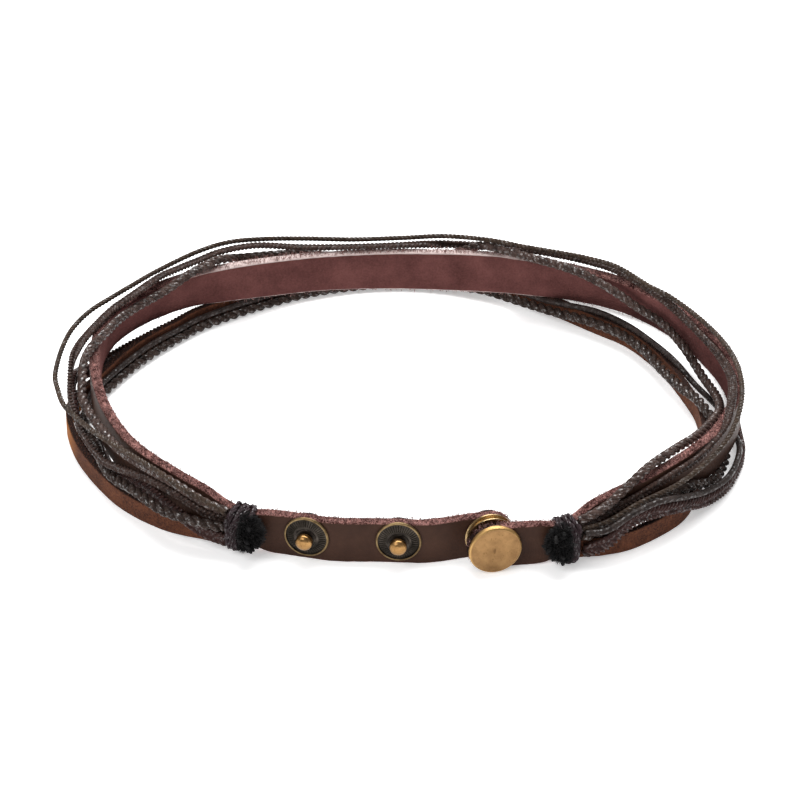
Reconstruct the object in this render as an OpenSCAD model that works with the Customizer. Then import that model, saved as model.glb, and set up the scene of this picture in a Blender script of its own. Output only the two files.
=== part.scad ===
/* [Loop] */
// Inside width of the main loop from side to side
loop_w = 124; // [120:1:130]
/* [Leather straps] */
// Width of the main strap
strap_w = 8.8; // [8.4:0.1:9.4]
// Thickness of the main strap
strap_t = 2; // [1.8:0.1:2.1]
// Width of the narrow suede strip
narrow_w = 4.2; // [3.8:0.1:4.4]
// Thickness of the narrow suede strip
narrow_t = 1.3; // [1.1:0.1:1.4]
/* [Cords] */
// Diameter of the twisted rope
rope_d = 1.9; // [1.6:0.1:2]
// Diameter of the thin twisted cord
thin_d = 1.1; // [0.9:0.1:1.2]
// Diameter of the beaded cord
beaded_d = 2.1; // [1.8:0.1:2.2]
// Diameter of the smooth cord
smooth_d = 1.2; // [1:0.1:1.3]
// Width of the herringbone braid
braid_w = 3.4; // [3:0.1:3.4]
// Thickness of the herringbone braid
braid_t = 1.2; // [1:0.1:1.3]
// Width of the small flat braid
ribbon_w = 2; // [1.6:0.1:2.1]
// Thickness of the small flat braid
ribbon_t = 1; // [0.8:0.1:1.1]
/* [Fasteners] */
// Diameter of the dish round each stud
dish_d = 8.5; // [8:0.1:8.7]
// Diameter of the stud head
head_d = 3.2; // [2.8:0.1:3.4]
// Diameter of the rivet post
post_d = 2; // [1.6:0.1:2.2]
// Diameter of the snap cap
cap_d = 10; // [9.6:0.1:10]
// Height of the snap cap's side wall
cap_h = 1.5; // [1.2:0.1:1.8]
// Diameter of the two rims of the drum between the tabs
drum_d = 9.3; // [8.8:0.1:9.5]
// Diameter of the black caps on the inner face
back_cap_d = 7.2; // [6.8:0.1:8]
/* [Lashings] */
// Number of thread turns in each lashing
turns = 3; // [2:1:5]
// Depth of the groove between two turns
turn_groove = 0.25; // [0.15:0.05:0.3]
// Number of trimmed cord ends beside each lashing
cut_ends = 9; // [6:1:11]
/* [Hidden] */
// Small gap kept between pieces that only touch
gap = 0.05;
// The origin is under the middle of the straps, so the rows below are moved by this much
origin_y = 3.9;
// The loop grows sideways and to the back, and the fastened tabs in front keep their places
loop_scale = loop_w / 124;
tab_y = -36;
// Height at which the main strap rests on the narrow one
under = narrow_w + 0.1;
// Number of rings along a cord
cord_rings = 80;

// Main strap from the end of the inner tab, round the left side and the back, to the end of
// the outer tab: middle x and y, height of the lower edge, lean of the top inwards in
// degrees, and width as a share of strap_w
main_rows = [
    [20.6, -40.2, 0, 0, 1], [15.9, -41.2, 0, 0, 1], [11.2, -42.2, 0, 0, 1],
    [7.6, -43.2, 0, 0, 1], [3.8, -43.8, 0, 0, 1], [-0.5, -43.6, 0, 0, 1],
    [-4.8, -43.4, 0, 0, 1], [-9.5, -43.4, 0, 0, 1], [-13.1, -43.1, 0, 0, 1],
    [-17.3, -42.1, 0, 0, 1], [-21.5, -41.1, 0, 0, 1], [-25, -40.5, 0.4, 0, 0.95],
    [-29, -39.5, 1.9, 0, 0.74], [-32.5, -38.2, 2.4, 0, 0.78], [-36.4, -36.2, 2.6, 0, 0.97],
    [-41.1, -33.2, 3.4, 0, 1], [-46.7, -28.2, 3.9, 0, 1], [-50.7, -23.6, 4.1, 0, 1],
    [-54.1, -17.8, 4.3, 0, 1], [-57.2, -10.1, 4.3, 0, 1], [-59.3, -1.8, 4.3, 0, 1],
    [-60.4, 6, 4.3, 0, 1], [-60.7, 14, 4.3, 3, 1], [-60, 20, 4.3, 6, 1],
    [-57.6, 26.3, 4.3, 9, 1], [-52, 33.3, 4.3, 13, 1], [-43.8, 39.3, 4.3, 14, 1],
    [-35.9, 42.2, 4.3, 8, 1], [-25.4, 44.9, 4.3, 5, 1], [-14.7, 46.9, 4.3, 5, 1],
    [-0.3, 47.6, 4.3, 1, 1], [16.6, 46.6, 4.3, -2, 1], [25.4, 45.1, 4.3, 3, 1],
    [35.3, 42.2, 4.3, 12, 1], [45.6, 37, 4.3, 15, 1], [53.2, 29.6, 4.3, 14, 1],
    [58.3, 22.6, 4.3, 9, 1], [61.5, 16.3, 4.3, 5, 1], [63.7, 11, 4.3, 2, 1],
    [65.2, 4.5, 4.3, 0, 1], [65.3, -2.5, 4.3, 0, 1], [64.1, -9, 4.3, 0, 1],
    [61.9, -15, 4.3, 0, 1], [58.9, -20.6, 4.3, 0, 1], [55.3, -25.3, 4.3, 0, 1],
    [50.6, -30, 4.1, 0, 1], [45, -34.2, 3.3, 0, 1], [39.8, -37, 2.4, 0, 1],
    [35.2, -39.4, 1.6, 0, 0.95], [32, -41.4, 1.45, 0, 0.78], [29.2, -42.7, 1.25, 0, 0.74],
    [26.2, -44.1, 0.4, 0, 0.95], [22.6, -44.3, 0, 0, 1], [19.6, -44.8, 0, 0, 1],
    [16.75, -45.4, 0, 0, 1], [14.4, -45.9, 0, 0, 1], [12.2, -46.35, 0, 0, 1]];
// Rows of the strap at which the three studs and the snap cap sit
stud_rows = [9, 5, 1];
cap_row = 54;
// Rows of the strap between which the left and the right lashing lie
lash_rows = [[11.96, 12.63], [49.19, 49.94]];

// Narrow strip: middle x and y, height of the lower edge
narrow_rows = [
    [-32.03, -40.22, 1.2], [-36.9, -38, 1], [-40.6, -36, 0.4], [-44.9, -33.4, 0],
    [-49.4, -30.1, 0], [-54, -25.4, 0], [-58.3, -19, 0], [-61.8, -12.4, 0],
    [-63.9, -6.6, 0], [-65.2, -1, 0], [-65.3, 4, 0], [-63.6, 8.8, 0], [-61.2, 12.8, 0],
    [-58.4, 18.5, 0], [-55.6, 23.6, 0], [-51.7, 29, 0], [-46.2, 34.8, 0], [-41.8, 39.6, 0],
    [-31.4, 46.2, 0], [-20.9, 51.9, 0], [-10, 54.9, 0], [0, 55.9, 0], [10, 54.9, 0],
    [18, 52.4, 0], [25.6, 48.7, 0], [33.6, 42.1, 0], [39.8, 36.8, 0], [46.2, 31.4, 0],
    [51, 24.4, 0], [54.3, 17.4, 0], [57.2, 8.9, 0], [58.7, 3, 0], [59.2, -4, 0],
    [59, -11, 0], [57.8, -18, 0], [55.4, -24.8, 0], [53.1, -30.3, 0], [49.2, -34.8, 0],
    [42.9, -39.7, 0], [37.4, -42.1, 0.3], [32.65, -43.1, 0.6]];

// Cords, each from the left lashing round the back to the right lashing: x, y and z of the
// middle, and for the flat ones how far they are rolled over in degrees
rope_rows = [
    [-32.23, -40.52, 8.7], [-36.5, -39.3, 10], [-42, -35.5, 11.5], [-47.5, -31, 12],
    [-53, -25, 12], [-56.5, -19, 12], [-59.5, -13, 12], [-61.5, -8, 12.5], [-62, -3, 13.5],
    [-62, 2, 14.5], [-61, 7.5, 14.5], [-59, 12.5, 14.3], [-56.6, 20.5, 13],
    [-53.8, 26.5, 12], [-48.1, 32.6, 12.4], [-44.2, 35.7, 13.8], [-41, 38.5, 14.4],
    [-37.5, 42, 14.2], [-33, 45.8, 12.5], [-21, 50, 11], [-9, 51, 9], [0, 51.5, 8.5],
    [8, 50.4, 10], [13, 49.3, 12.2], [17, 47.8, 14.2], [22, 45, 14.4], [27, 42.5, 14.3],
    [32.5, 40, 14], [37.5, 38, 13], [43, 34.5, 11.5], [48, 31, 9.5], [53, 26, 8.5],
    [56.8, 20.5, 6.5], [60, 13.5, 4.3], [62.2, 4.5, 5], [61.9, -4.5, 7.8], [60, -11, 9.5],
    [56, -19.5, 11.5], [52, -25.5, 13], [46, -33.5, 14], [41, -38.5, 12],
    [37, -41.5, 10], [32.85, -43.5, 8.8]];
ribbon_rows = [
    [-32.03, -40.12, 6.6, 0], [-36.6, -39.2, 7.6, 0], [-42, -36, 9.5, 0],
    [-47.5, -31.5, 9.9, 0], [-53, -27, 9.2, 0], [-57, -23, 8.7, 0], [-61, -16.5, 10, 0],
    [-62.5, -12.5, 11, 0], [-64, -7.5, 12, 0], [-64.5, -2.5, 13, 0], [-64.5, 3, 14, 20],
    [-63.8, 8, 14, 60], [-62, 13.5, 14.1, 90], [-58.3, 21.7, 14.2, 90],
    [-54.2, 27.3, 14.6, 90], [-49.3, 34.2, 14.7, 90], [-45.6, 38.2, 14.4, 90],
    [-41.2, 42, 14.3, 90], [-37, 44.6, 14.7, 90], [-30, 47, 14.7, 90], [-21, 47.5, 14, 90],
    [-13, 47.5, 14, 90], [-4, 48, 14, 90], [4, 48.8, 13.9, 70], [9.5, 50.7, 12.9, 0],
    [15, 51, 12.4, 0], [20, 49, 13.2, 30], [26, 46.4, 14, 90], [33, 44, 14, 90],
    [38.5, 41.5, 14, 90], [44, 38, 14, 90], [50, 31, 14, 90], [53.8, 25.8, 13.6, 50],
    [58.8, 16.9, 12.6, 0], [62.5, 8, 12.5, 20], [64, -3, 14, 90], [63, -13, 14.4, 90],
    [60.8, -21, 13.8, 40], [56.2, -27, 12, 0], [50.2, -32.7, 11.4, 0],
    [42.2, -37.9, 9.3, 0], [37, -40.5, 8, 0], [32.55, -43, 6.3, 0]];
thin_rows = [
    [-32.73, -41.82, 9.5], [-36, -41, 11.3], [-41, -38, 12.5], [-46, -33.5, 13.5],
    [-53.5, -26, 13.5], [-58.5, -20, 13], [-62.5, -14, 12.5], [-65, -10, 12.5],
    [-66.5, -5.5, 13], [-67.5, 0, 13], [-67, 8, 13.5], [-65.5, 15, 14], [-62.5, 21, 14.5],
    [-58.5, 25.5, 15], [-54.5, 30.5, 15], [-49.5, 36.5, 15], [-42, 43, 15.5],
    [-35.5, 47, 15.5], [-28, 50, 14.5], [-19.5, 51, 14], [-10, 51.5, 13.5],
    [0, 51.3, 14], [9, 50.3, 15], [18, 47.4, 15.8], [25, 44.7, 15.8],
    [32.5, 42.3, 15.7], [38, 40.5, 15.5], [44, 37, 15.5], [50, 29.5, 15.5],
    [54.5, 25.5, 15], [60, 17.5, 14.5], [64, 8, 14.5], [65.5, -3, 15.5], [65, -13, 15.5],
    [62.4, -21.8, 14], [58, -27.8, 12], [51.5, -33.8, 10.2], [44, -39.2, 9.7],
    [38, -42.7, 8], [33.15, -44.1, 7.3]];
beaded_rows = [
    [-32.83, -41.42, 5.75], [-37.3, -41.2, 6.8], [-44.2, -37.8, 7], [-49.8, -31.5, 7],
    [-55, -25, 6.2], [-58, -17, 5.5], [-59.4, -9.6, 2.9], [-61.4, -3, 1.4],
    [-62.6, 3, 1.2], [-61.3, 8.5, 1.2], [-59, 13, 1.2], [-55, 20.3, 1.2],
    [-50.2, 27.2, 1.2], [-45, 33.2, 1.2], [-40.3, 37.8, 1.2], [-30.5, 44.5, 1.2],
    [-20, 50, 1.2], [-10, 53, 1.2], [0, 54, 1.5], [9, 52.9, 1.7], [17, 50.3, 2],
    [24.3, 46.1, 1.9], [32.1, 40, 2.7], [38.3, 35.5, 3.5], [45, 30, 3.5],
    [49.4, 23.5, 3.5], [52.4, 16.5, 3.5], [55.4, 9, 4.3], [58, 3, 5.5], [60.3, -2.5, 5.1],
    [62.5, -7.5, 3.3], [62.5, -13.5, 3], [61, -19, 3], [58.7, -24.6, 4.5],
    [54.3, -29.7, 7], [48.7, -34.6, 7.6], [43.1, -38.3, 6.8], [38.2, -41.6, 5.9],
    [33.35, -44.3, 5.6]];
braid_rows = [
    [-32.63, -41.42, 2.9, 0], [-37.4, -39.9, 4.2, 0], [-43.2, -36, 6.6, 0], [-48.5, -29.7, 6.8, 0],
    [-55.1, -20.6, 3, 0], [-59.4, -14.4, 1.8, 0], [-61.9, -8.5, 1.8, 0],
    [-63.2, -2.5, 2.8, 0], [-64.1, 1.5, 5.9, 0], [-65, 6, 6.2, 0], [-65, 10, 6, 0],
    [-64.5, 14, 4.5, 0], [-62.5, 18.5, 2.5, 0], [-58, 25, 1.8, 0], [-53, 30.5, 1.8, 0],
    [-47.5, 36, 1.8, 0], [-42.5, 41, 1.8, 0], [-32, 47.5, 1.8, 0], [-21.5, 53.5, 1.8, 0],
    [-10.5, 56.5, 1.8, 0], [0, 57.5, 1.8, 0], [10.5, 56.5, 1.8, 0], [19.5, 54.5, 1.8, 0],
    [28, 52, 1.8, 0], [36, 49.5, 1.8, 0], [46.5, 44, 1.8, 0], [54.5, 37, 1.8, 0],
    [61.5, 25, 1.8, 0], [64, 18, 1.8, 0], [65.3, 11, 1.8, 0], [65.7, 3, 1.8, 0],
    [66, -5, 1.8, 0], [66, -11.5, 1.8, 0], [64, -18, 1.8, 0], [61.5, -23, 1.8, 0],
    [57.5, -28, 2.5, 0], [53.1, -33.2, 5, 0], [47.5, -37.9, 6.9, 0], [42.5, -41.2, 7, 0],
    [38, -44, 4.35, 0], [33.65, -44.3, 2.55, 0]];
smooth_rows = [
    [-31.33, -38.62, 1.1], [-36.5, -36, 1], [-41, -33, 0.8], [-46.5, -28.5, 0.8],
    [-51, -23, 0.8], [-55, -16.5, 0.8], [-57.7, -9.3, 0.9], [-59.7, -3, 3.1], [-62, 3, 3.2],
    [-61.7, 8.5, 3], [-59.7, 13, 2.8], [-55.7, 20.3, 2.8], [-51, 27.4, 2.8],
    [-45.6, 33.3, 2.8], [-40.8, 38.2, 2.8], [-30.9, 44.8, 2.8], [-20.2, 50.5, 2.8],
    [-10, 53.6, 2.9], [0, 54.5, 3.2], [9, 53.7, 3.4], [17.3, 51.1, 3.5], [24.8, 47.1, 3.4],
    [29, 43.9, 3.6], [32.8, 41, 4.3], [40, 36.7, 5.06], [46.2, 31.3, 5],
    [51, 24.5, 5], [54.8, 17.5, 5.1],
    [58.5, 13, 2.6], [61.3, 9, 1.6], [63.6, 3, 1.8], [64.3, -4, 3.1], [65.3, -10.5, 4],
    [64.7, -16, 4.3], [62.3, -22.7, 4.5], [58, -28.4, 5.2], [53.3, -33.8, 7.5],
    [48, -38.4, 9.6], [43, -41.9, 9.4], [38, -44.5, 7.4], [33.95, -45, 7]];

// Height in the rows at which the main strap rests on the narrow one, and the strap's width there
row_lift = 4.3;
row_strap_w = 8.8;
// A height in the rows, moved with the widths of the two straps
function at_z(z) = z < row_lift ? z * under / row_lift : under + (z - row_lift) * strap_w / row_strap_w;
// A row moved with the size of the loop; half is the half height of a cord
function placed(r, half) = [
    r[0] * loop_scale,
    r[1] + max(0, r[1] - tab_y) * (loop_scale - 1) - origin_y,
    half == undef ? at_z(r[2]) : max(at_z(r[2]), half + gap),
    r[3] == undef ? 0 : r[3],
    r[4] == undef ? 1 : r[4]];
// A smooth curve through the rows R, read at the row number u
function spot(R, u) =
    let (k = min(max(floor(u), 0), len(R) - 2), t = u - k,
        b = R[k], c = R[k + 1],
        a = k > 0 ? R[k - 1] : 2 * b - c,
        d = k < len(R) - 2 ? R[k + 2] : 2 * c - b)
    (2 * b + (c - a) * t + (2 * a - 5 * b + 4 * c - d) * t * t
        + (3 * b - a - 3 * c + d) * t * t * t) / 2;
// Direction of travel along the curve in plan, and the side that faces out of the loop
function ahead(R, u) =
    let (p = spot(R, max(u - 0.05, 0)), q = spot(R, min(u + 0.05, len(R) - 1)),
        v = [q[0] - p[0], q[1] - p[1], 0])
    v / norm(v);
function outward(R, u) = let (v = ahead(R, u)) [-v[1], v[0], 0];
// Steps along a curve, one for each ring
function steps(R, count) = [for (i = [0 : count - 1]) i * (len(R) - 1) / (count - 1)];

// A ring round the point c: side and up are its two directions, outline its points in them
function ring(c, side, up, outline) = [for (q = outline) c + side * q[0] + up * q[1]];
// Outline of a strip of thickness t and width w with softened edges
function strip_outline(t, w, soft) =
    let (a = t / 2, b = w / 2, s = min(soft, a * 0.8))
    [[a, s - b], [a, b - s], [a - s, b], [s - a, b], [-a, b - s], [-a, s - b], [s - a, -b],
        [a - s, -b]];
function round_outline(d) = [for (i = [0 : 7]) [cos(i * 45), sin(i * 45)] * d / 2];
// Outline of a lashing: a rounded block of half sizes a and b, squarer with a smaller power
block_power = 0.5;
function block_outline(a, b, count) = [for (i = [0 : count - 1])
    let (v = i * 360 / count, c = cos(v), s = sin(v))
    [sign(c) * pow(abs(c), block_power) * a, sign(s) * pow(abs(s), block_power) * b]];
// Slot outline with as many points as the block round it
function slot_outline(a, b, count) = [for (i = [0 : count - 1])
    let (v = i * 360 / count, c = cos(v), s = sin(v), f = max(abs(c) / a, abs(s) / b))
    [c, s] / f];

// A closed solid through a list of rings
module skin(rings) {
    m = len(rings[0]);
    n = len(rings);
    polyhedron(
        points = [for (r = rings) for (p = r) p],
        faces = concat(
            [[for (j = [0 : m - 1]) j]],
            [[for (j = [0 : m - 1]) n * m - 1 - j]],
            [for (i = [0 : n - 2]) for (j = [0 : m - 1])
                let (j2 = (j + 1) % m, far = i * m + m)
                each [[far + j, far + j2, i * m + j2], [far + j, i * m + j2, i * m + j]]]));
}
// A closed band through rings that end where they began, with a hole through the middle
module band(rings) {
    m = len(rings[0]);
    n = len(rings);
    polyhedron(
        points = [for (r = rings) for (p = r) p],
        faces = [for (i = [0 : n - 1]) for (j = [0 : m - 1])
            let (far = (i + 1) % n * m, j2 = (j + 1) % m)
            each [[far + j, far + j2, i * m + j2], [far + j, i * m + j2, i * m + j]]]);
}

// Rows at the size in force
strap_line = [for (r = main_rows) placed(r)];
narrow_line = [for (r = narrow_rows) placed(r)];
last_row = len(main_rows) - 1;
// The tab ends are half round, down to this share of the width at the very tip
tip_share = 0.2;
function end_share(u) =
    let (p = spot(strap_line, u), q = spot(strap_line, u < last_row / 2 ? 0 : last_row),
        e = min(norm([p[0] - q[0], p[1] - q[1]]) / (strap_w / 2), 1))
    max(sqrt(1 - (1 - e) * (1 - e)), tip_share);
// Middle of the main strap's thickness at mid height, and its two directions
function strap_width(u) = strap_w * spot(strap_line, u)[4] * end_share(u);
function strap_side(u) =
    let (o = outward(strap_line, u), v = spot(strap_line, u)[3])
    o * cos(v) + [0, 0, sin(v)];
function strap_up(u) =
    let (o = outward(strap_line, u), v = spot(strap_line, u)[3])
    [0, 0, cos(v)] - o * sin(v);
function strap_mid(u) =
    let (p = spot(strap_line, u))
    [p[0], p[1], max(p[2], 0) + strap_w * p[4] / 2];
strap_steps = concat([0, 0.02, 0.07, 0.17, 0.31, 0.5, 0.72], [for (i = [2 : 2 * last_row - 4]) i / 2],
    [for (d = [1.6, 1.2, 0.85, 0.55, 0.3, 0.14, 0.04, 0]) last_row - d]);

// Height of the fasteners' middle, which clears the floor under the cap
fast_z = cap_d / 2 + 0.1;
// Distance between the middles of the two tabs under the cap
lap = norm([strap_mid(stud_rows[2])[0] - strap_mid(cap_row)[0],
    strap_mid(stud_rows[2])[1] - strap_mid(cap_row)[1]]);
bore = post_d + 2 * gap;
dish_h = 1;
low_dish_h = 0.75;
plate = 0.3;
// Heights of the stud tops above the strap's face
stud_h = 3.2;
low_stud_h = lap - strap_t - plate - 2 * gap;

// Puts a fastener on the strap's middle at a stud row, with +Z out of the loop
module at_stud(k) {
    u = stud_rows[k];
    p = strap_mid(u);
    o = outward(strap_line, u);
    translate([p[0], p[1], fast_z]) rotate([0, 0, atan2(o[1], o[0])]) rotate([0, 90, 0]) children();
}

module strap_holes() {
    at_stud(0) cylinder(h = 2 * strap_t, d = bore, center = true, $fn = 32);
    at_stud(1) cylinder(h = 2 * strap_t, d = bore, center = true, $fn = 32);
    at_stud(2) translate([0, 0, -strap_t]) cylinder(h = lap + 2 * strap_t, d = bore, $fn = 32);
}
module main_strap() {
    color("#4a2f28")
    difference() {
        skin([for (u = strap_steps)
            ring(strap_mid(u), strap_side(u), strap_up(u), strip_outline(strap_t, strap_width(u), 0.3))]);
        strap_holes();
    }
}
module narrow_strap() {
    color("#6b3f31")
    skin([for (u = steps(narrow_line, 81))
        let (p = spot(narrow_line, u))
        ring([p[0], p[1], max(p[2], 0) + narrow_w / 2], outward(narrow_line, u), [0, 0, 1],
            strip_outline(narrow_t, narrow_w, 0.2))]);
}

// A round cord of diameter d along the rows
module round_cord(rows, d) {
    line = [for (r = rows) placed(r, d / 2)];
    skin([for (u = steps(line, cord_rings))
        let (p = spot(line, u))
        ring([p[0], p[1], max(p[2], d / 2 + gap)], outward(line, u), [0, 0, 1], round_outline(d))]);
}
// A flat cord of width w and thickness t along the rows, rolled over as they say
module flat_cord(rows, w, t) {
    line = [for (r = rows) placed(r, w / 2)];
    skin([for (u = steps(line, cord_rings))
        let (p = spot(line, u), o = outward(line, u), v = min(max(p[3], 0), 90))
        ring([p[0], p[1], max(p[2], w / 2 + gap)], o * cos(v) - [0, 0, sin(v)],
            [0, 0, cos(v)] + o * sin(v), strip_outline(t, w, t * 0.3))]);
}
module rope_cord() { color("#8a8079") round_cord(rope_rows, rope_d); }
module ribbon_cord() { color("#4b3b33") flat_cord(ribbon_rows, ribbon_w, ribbon_t); }
module thin_cord() { color("#5a5044") round_cord(thin_rows, thin_d); }
module beaded_cord() { color("#3d3633") round_cord(beaded_rows, beaded_d); }
module flat_braid() { color("#332c29") flat_cord(braid_rows, braid_w, braid_t); }
module smooth_cord() { color("#77716b") round_cord(smooth_rows, smooth_d); }

// Lashings: half thickness, half height, and how far the middle is set outwards
lash_a = 3.3;
lash_b = 4.25;
lash_off = 1.2;
lash_rings = 4 * turns;
slot_gap = 0.2;
function turn_depth(f) = turn_groove * (1 - abs(sin(180 * turns * f))) * (f > 0 && f < 1 ? 1 : 0.6);
module lashing(span) {
    count = 24;
    outer = [for (i = [0 : lash_rings])
        let (f = i / lash_rings, u = span[0] + (span[1] - span[0]) * f, p = strap_mid(u),
            o = outward(strap_line, u), g = turn_depth(f))
        ring(p + o * lash_off, o, [0, 0, 1], block_outline(lash_a - g, lash_b - g, count))];
    slot = [for (i = [0 : 4])
        let (u = span[1] + (span[0] - span[1]) * i / 4, o = outward(strap_line, u))
        ring(strap_mid(u), o, [0, 0, 1],
            slot_outline(strap_t / 2 + slot_gap, strap_width(u) / 2 + slot_gap, count))];
    band(concat(outer, slot));
}
module left_lashing() { color("#26211f") lashing(lash_rows[0]); }
module right_lashing() { color("#26211f") lashing(lash_rows[1]); }

// Trimmed cord ends: a tuft on the lashing's tab side, with short stubs that fan out.
// Its half thickness, half height and reach, and the stubs' diameter and length
tuft_a = 2.2;
tuft_b = 3.3;
tuft_h = 3.8;
stub_d = 0.8;
stub_l = 1.5;
// A ring of the tuft, seen from its middle at the angle v above the lashing
function tuft_ring(v) = ring([0, 0, tuft_h * sin(v)], [1, 0, 0], [0, 1, 0],
    [for (i = [0 : 23]) [tuft_b * cos(i * 15), tuft_a * sin(i * 15)] * cos(v)]);
module tuft() {
    skin([for (v = [0 : 13 : 78]) tuft_ring(v)]);
    for (i = [0 : cut_ends - 1])
        let (a = i * 137.5, s = 0.75 * sqrt((i + 0.5) / cut_ends))
        translate([tuft_b * s * cos(a), tuft_a * s * sin(a), tuft_h * sqrt(1 - s * s) - 0.9])
        rotate([0, 20 * s, a])
        cylinder(h = stub_l, d = stub_d, $fn = 12);
}
// Puts the tuft against a lashing's end face, lifted above its middle; way is the direction
// of travel it points in
tuft_off = strap_t / 2 + tuft_a + 0.15;
module at_tuft(u, lift, way) {
    p = strap_mid(u);
    o = outward(strap_line, u);
    v = ahead(strap_line, u) * way;
    translate(p + o * tuft_off + v * gap + [0, 0, lift])
    rotate([0, 0, atan2(v[1], v[0])]) rotate([0, 90, 0]) children();
}
module left_cut_ends() { color("#1d1918") at_tuft(lash_rows[0][0], 0.8, -1) tuft(); }
module right_cut_ends() { color("#1d1918") at_tuft(lash_rows[1][1], 1, 1) tuft(); }

// Stud: a rivet post through the strap with a domed head; top is the height of the head
rivet = 0.4;
module stud(top) {
    face = strap_t / 2;
    neck = face + max(top - 1.7, min(1, top - 0.9));
    dome = min(0.9, face + top - neck - 0.2);
    color("#a98a55")
    rotate_extrude($fn = 48) polygon(concat(
        [[0, -face - rivet], [post_d / 2, -face - rivet], [post_d / 2, neck - 0.2],
            [head_d / 2 - 0.2, neck], [head_d / 2, neck + 0.15]],
        [for (v = [0 : 15 : 90])
            [head_d / 2 * cos(v), face + top - dome + dome * sin(v)]]));
}
module dish(h) {
    r = dish_d / 2;
    b = bore / 2;
    color("#2b2724")
    translate([0, 0, strap_t / 2 + gap])
    rotate_extrude($fn = 64) polygon([[b, 0], [r - 0.1, 0], [r, 0.12], [r, 0.35], [r - 0.12, 0.5],
        [r - 0.35, 0.5], [r - 0.5, 0.25], [r * 0.55, h * 0.6], [r * 0.48, h * 0.75],
        [r * 0.46, h], [b, h]]);
}
module back_cap() {
    r = back_cap_d / 2;
    b = bore / 2;
    h = 0.9;
    color("#1f1c1b")
    translate([0, 0, -strap_t / 2 - gap])
    rotate_extrude($fn = 64) polygon([[0, -h], [r * 0.7, -h], [r * 0.93, -h * 0.75],
        [r, -h * 0.4], [r, 0], [b, 0], [b, -rivet - gap], [0, -rivet - gap]]);
}
module stud_1() { at_stud(0) stud(stud_h); }
module stud_2() { at_stud(1) stud(stud_h); }
module stud_3() { at_stud(2) stud(low_stud_h); }
module dish_1() { at_stud(0) dish(dish_h); }
module dish_2() { at_stud(1) dish(dish_h); }
module dish_3() { at_stud(2) dish(low_dish_h); }
module back_cap_1() { at_stud(0) back_cap(); }
module back_cap_2() { at_stud(1) back_cap(); }
module back_cap_3() { at_stud(2) back_cap(); }

// Drum between the tabs: it stands on the low dish and closes round the stud's head
module snap_socket() {
    r = drum_d / 2;
    foot = strap_t / 2 + gap + 0.5 + gap;
    top = lap - strap_t / 2 - gap;
    wide = dish_d / 2 * 0.55 + 0.2;
    step = strap_t / 2 + low_dish_h + 3 * gap;
    well = head_d / 2 + gap;
    color("#b0935f")
    at_stud(2)
    rotate_extrude($fn = 64) polygon([[wide, foot], [r, foot], [r, foot + 0.25],
        [r - 0.5, foot + 0.4], [r - 0.5, top - 0.4], [r, top - 0.25], [r, top], [bore / 2, top],
        [bore / 2, top - plate + gap], [well, top - plate + gap], [well, step], [wide, step]]);
}
module snap_cap() {
    r = cap_d / 2;
    color("#a08654")
    at_stud(2) translate([0, 0, lap + strap_t / 2 + gap])
    rotate_extrude($fn = 96) polygon([[0, -strap_t - gap], [post_d / 2, -strap_t - gap],
        [post_d / 2, 0], [r - 0.5, 0], [r - 0.3, 0.12], [r - 0.3, 0.6], [r, 0.72],
        [r, cap_h - 0.4], [r - 0.1, cap_h - 0.18], [r - 0.3, cap_h - 0.04], [r - 0.5, cap_h],
        [r - 0.75, cap_h - 0.06], [0, cap_h - 0.02]]);
}

main_strap();
narrow_strap();
rope_cord();
ribbon_cord();
thin_cord();
beaded_cord();
flat_braid();
smooth_cord();
left_lashing();
right_lashing();
left_cut_ends();
right_cut_ends();
stud_1();
stud_2();
stud_3();
dish_1();
dish_2();
dish_3();
back_cap_1();
back_cap_2();
back_cap_3();
snap_socket();
snap_cap();
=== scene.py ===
import math

import bpy
import numpy as np
from mathutils import Matrix


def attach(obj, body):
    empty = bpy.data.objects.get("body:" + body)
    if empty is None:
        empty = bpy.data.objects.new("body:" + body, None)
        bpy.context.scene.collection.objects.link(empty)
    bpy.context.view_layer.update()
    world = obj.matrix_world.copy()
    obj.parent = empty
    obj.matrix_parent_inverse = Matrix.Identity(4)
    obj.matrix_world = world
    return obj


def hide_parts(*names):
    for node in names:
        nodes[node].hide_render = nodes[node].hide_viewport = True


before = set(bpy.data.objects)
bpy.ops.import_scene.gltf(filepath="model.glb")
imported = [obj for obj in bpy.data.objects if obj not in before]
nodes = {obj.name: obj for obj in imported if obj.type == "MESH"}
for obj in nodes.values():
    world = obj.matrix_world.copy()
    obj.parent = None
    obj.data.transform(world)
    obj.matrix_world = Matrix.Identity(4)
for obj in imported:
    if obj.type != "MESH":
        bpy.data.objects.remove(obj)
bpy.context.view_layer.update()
scene = bpy.context.scene

# Sizes in millimetres, as in the part's source
MM = 0.001
ORIGIN_Y = 3.9
STRAP_W, STRAP_T = 8.8, 2.0
NARROW_W, NARROW_T = 4.2, 1.3
FAST_Z = 5.1
STUD_ROWS = [9, 5, 1]
LEFT_SPAN, RIGHT_SPAN = (11.96, 12.63), (49.19, 49.94)
LASH_A, LASH_B, LASH_OFF = 3.3, 4.25, 1.2
TUFT_A, TUFT_B, TUFT_H = 2.2, 3.3, 3.8
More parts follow.
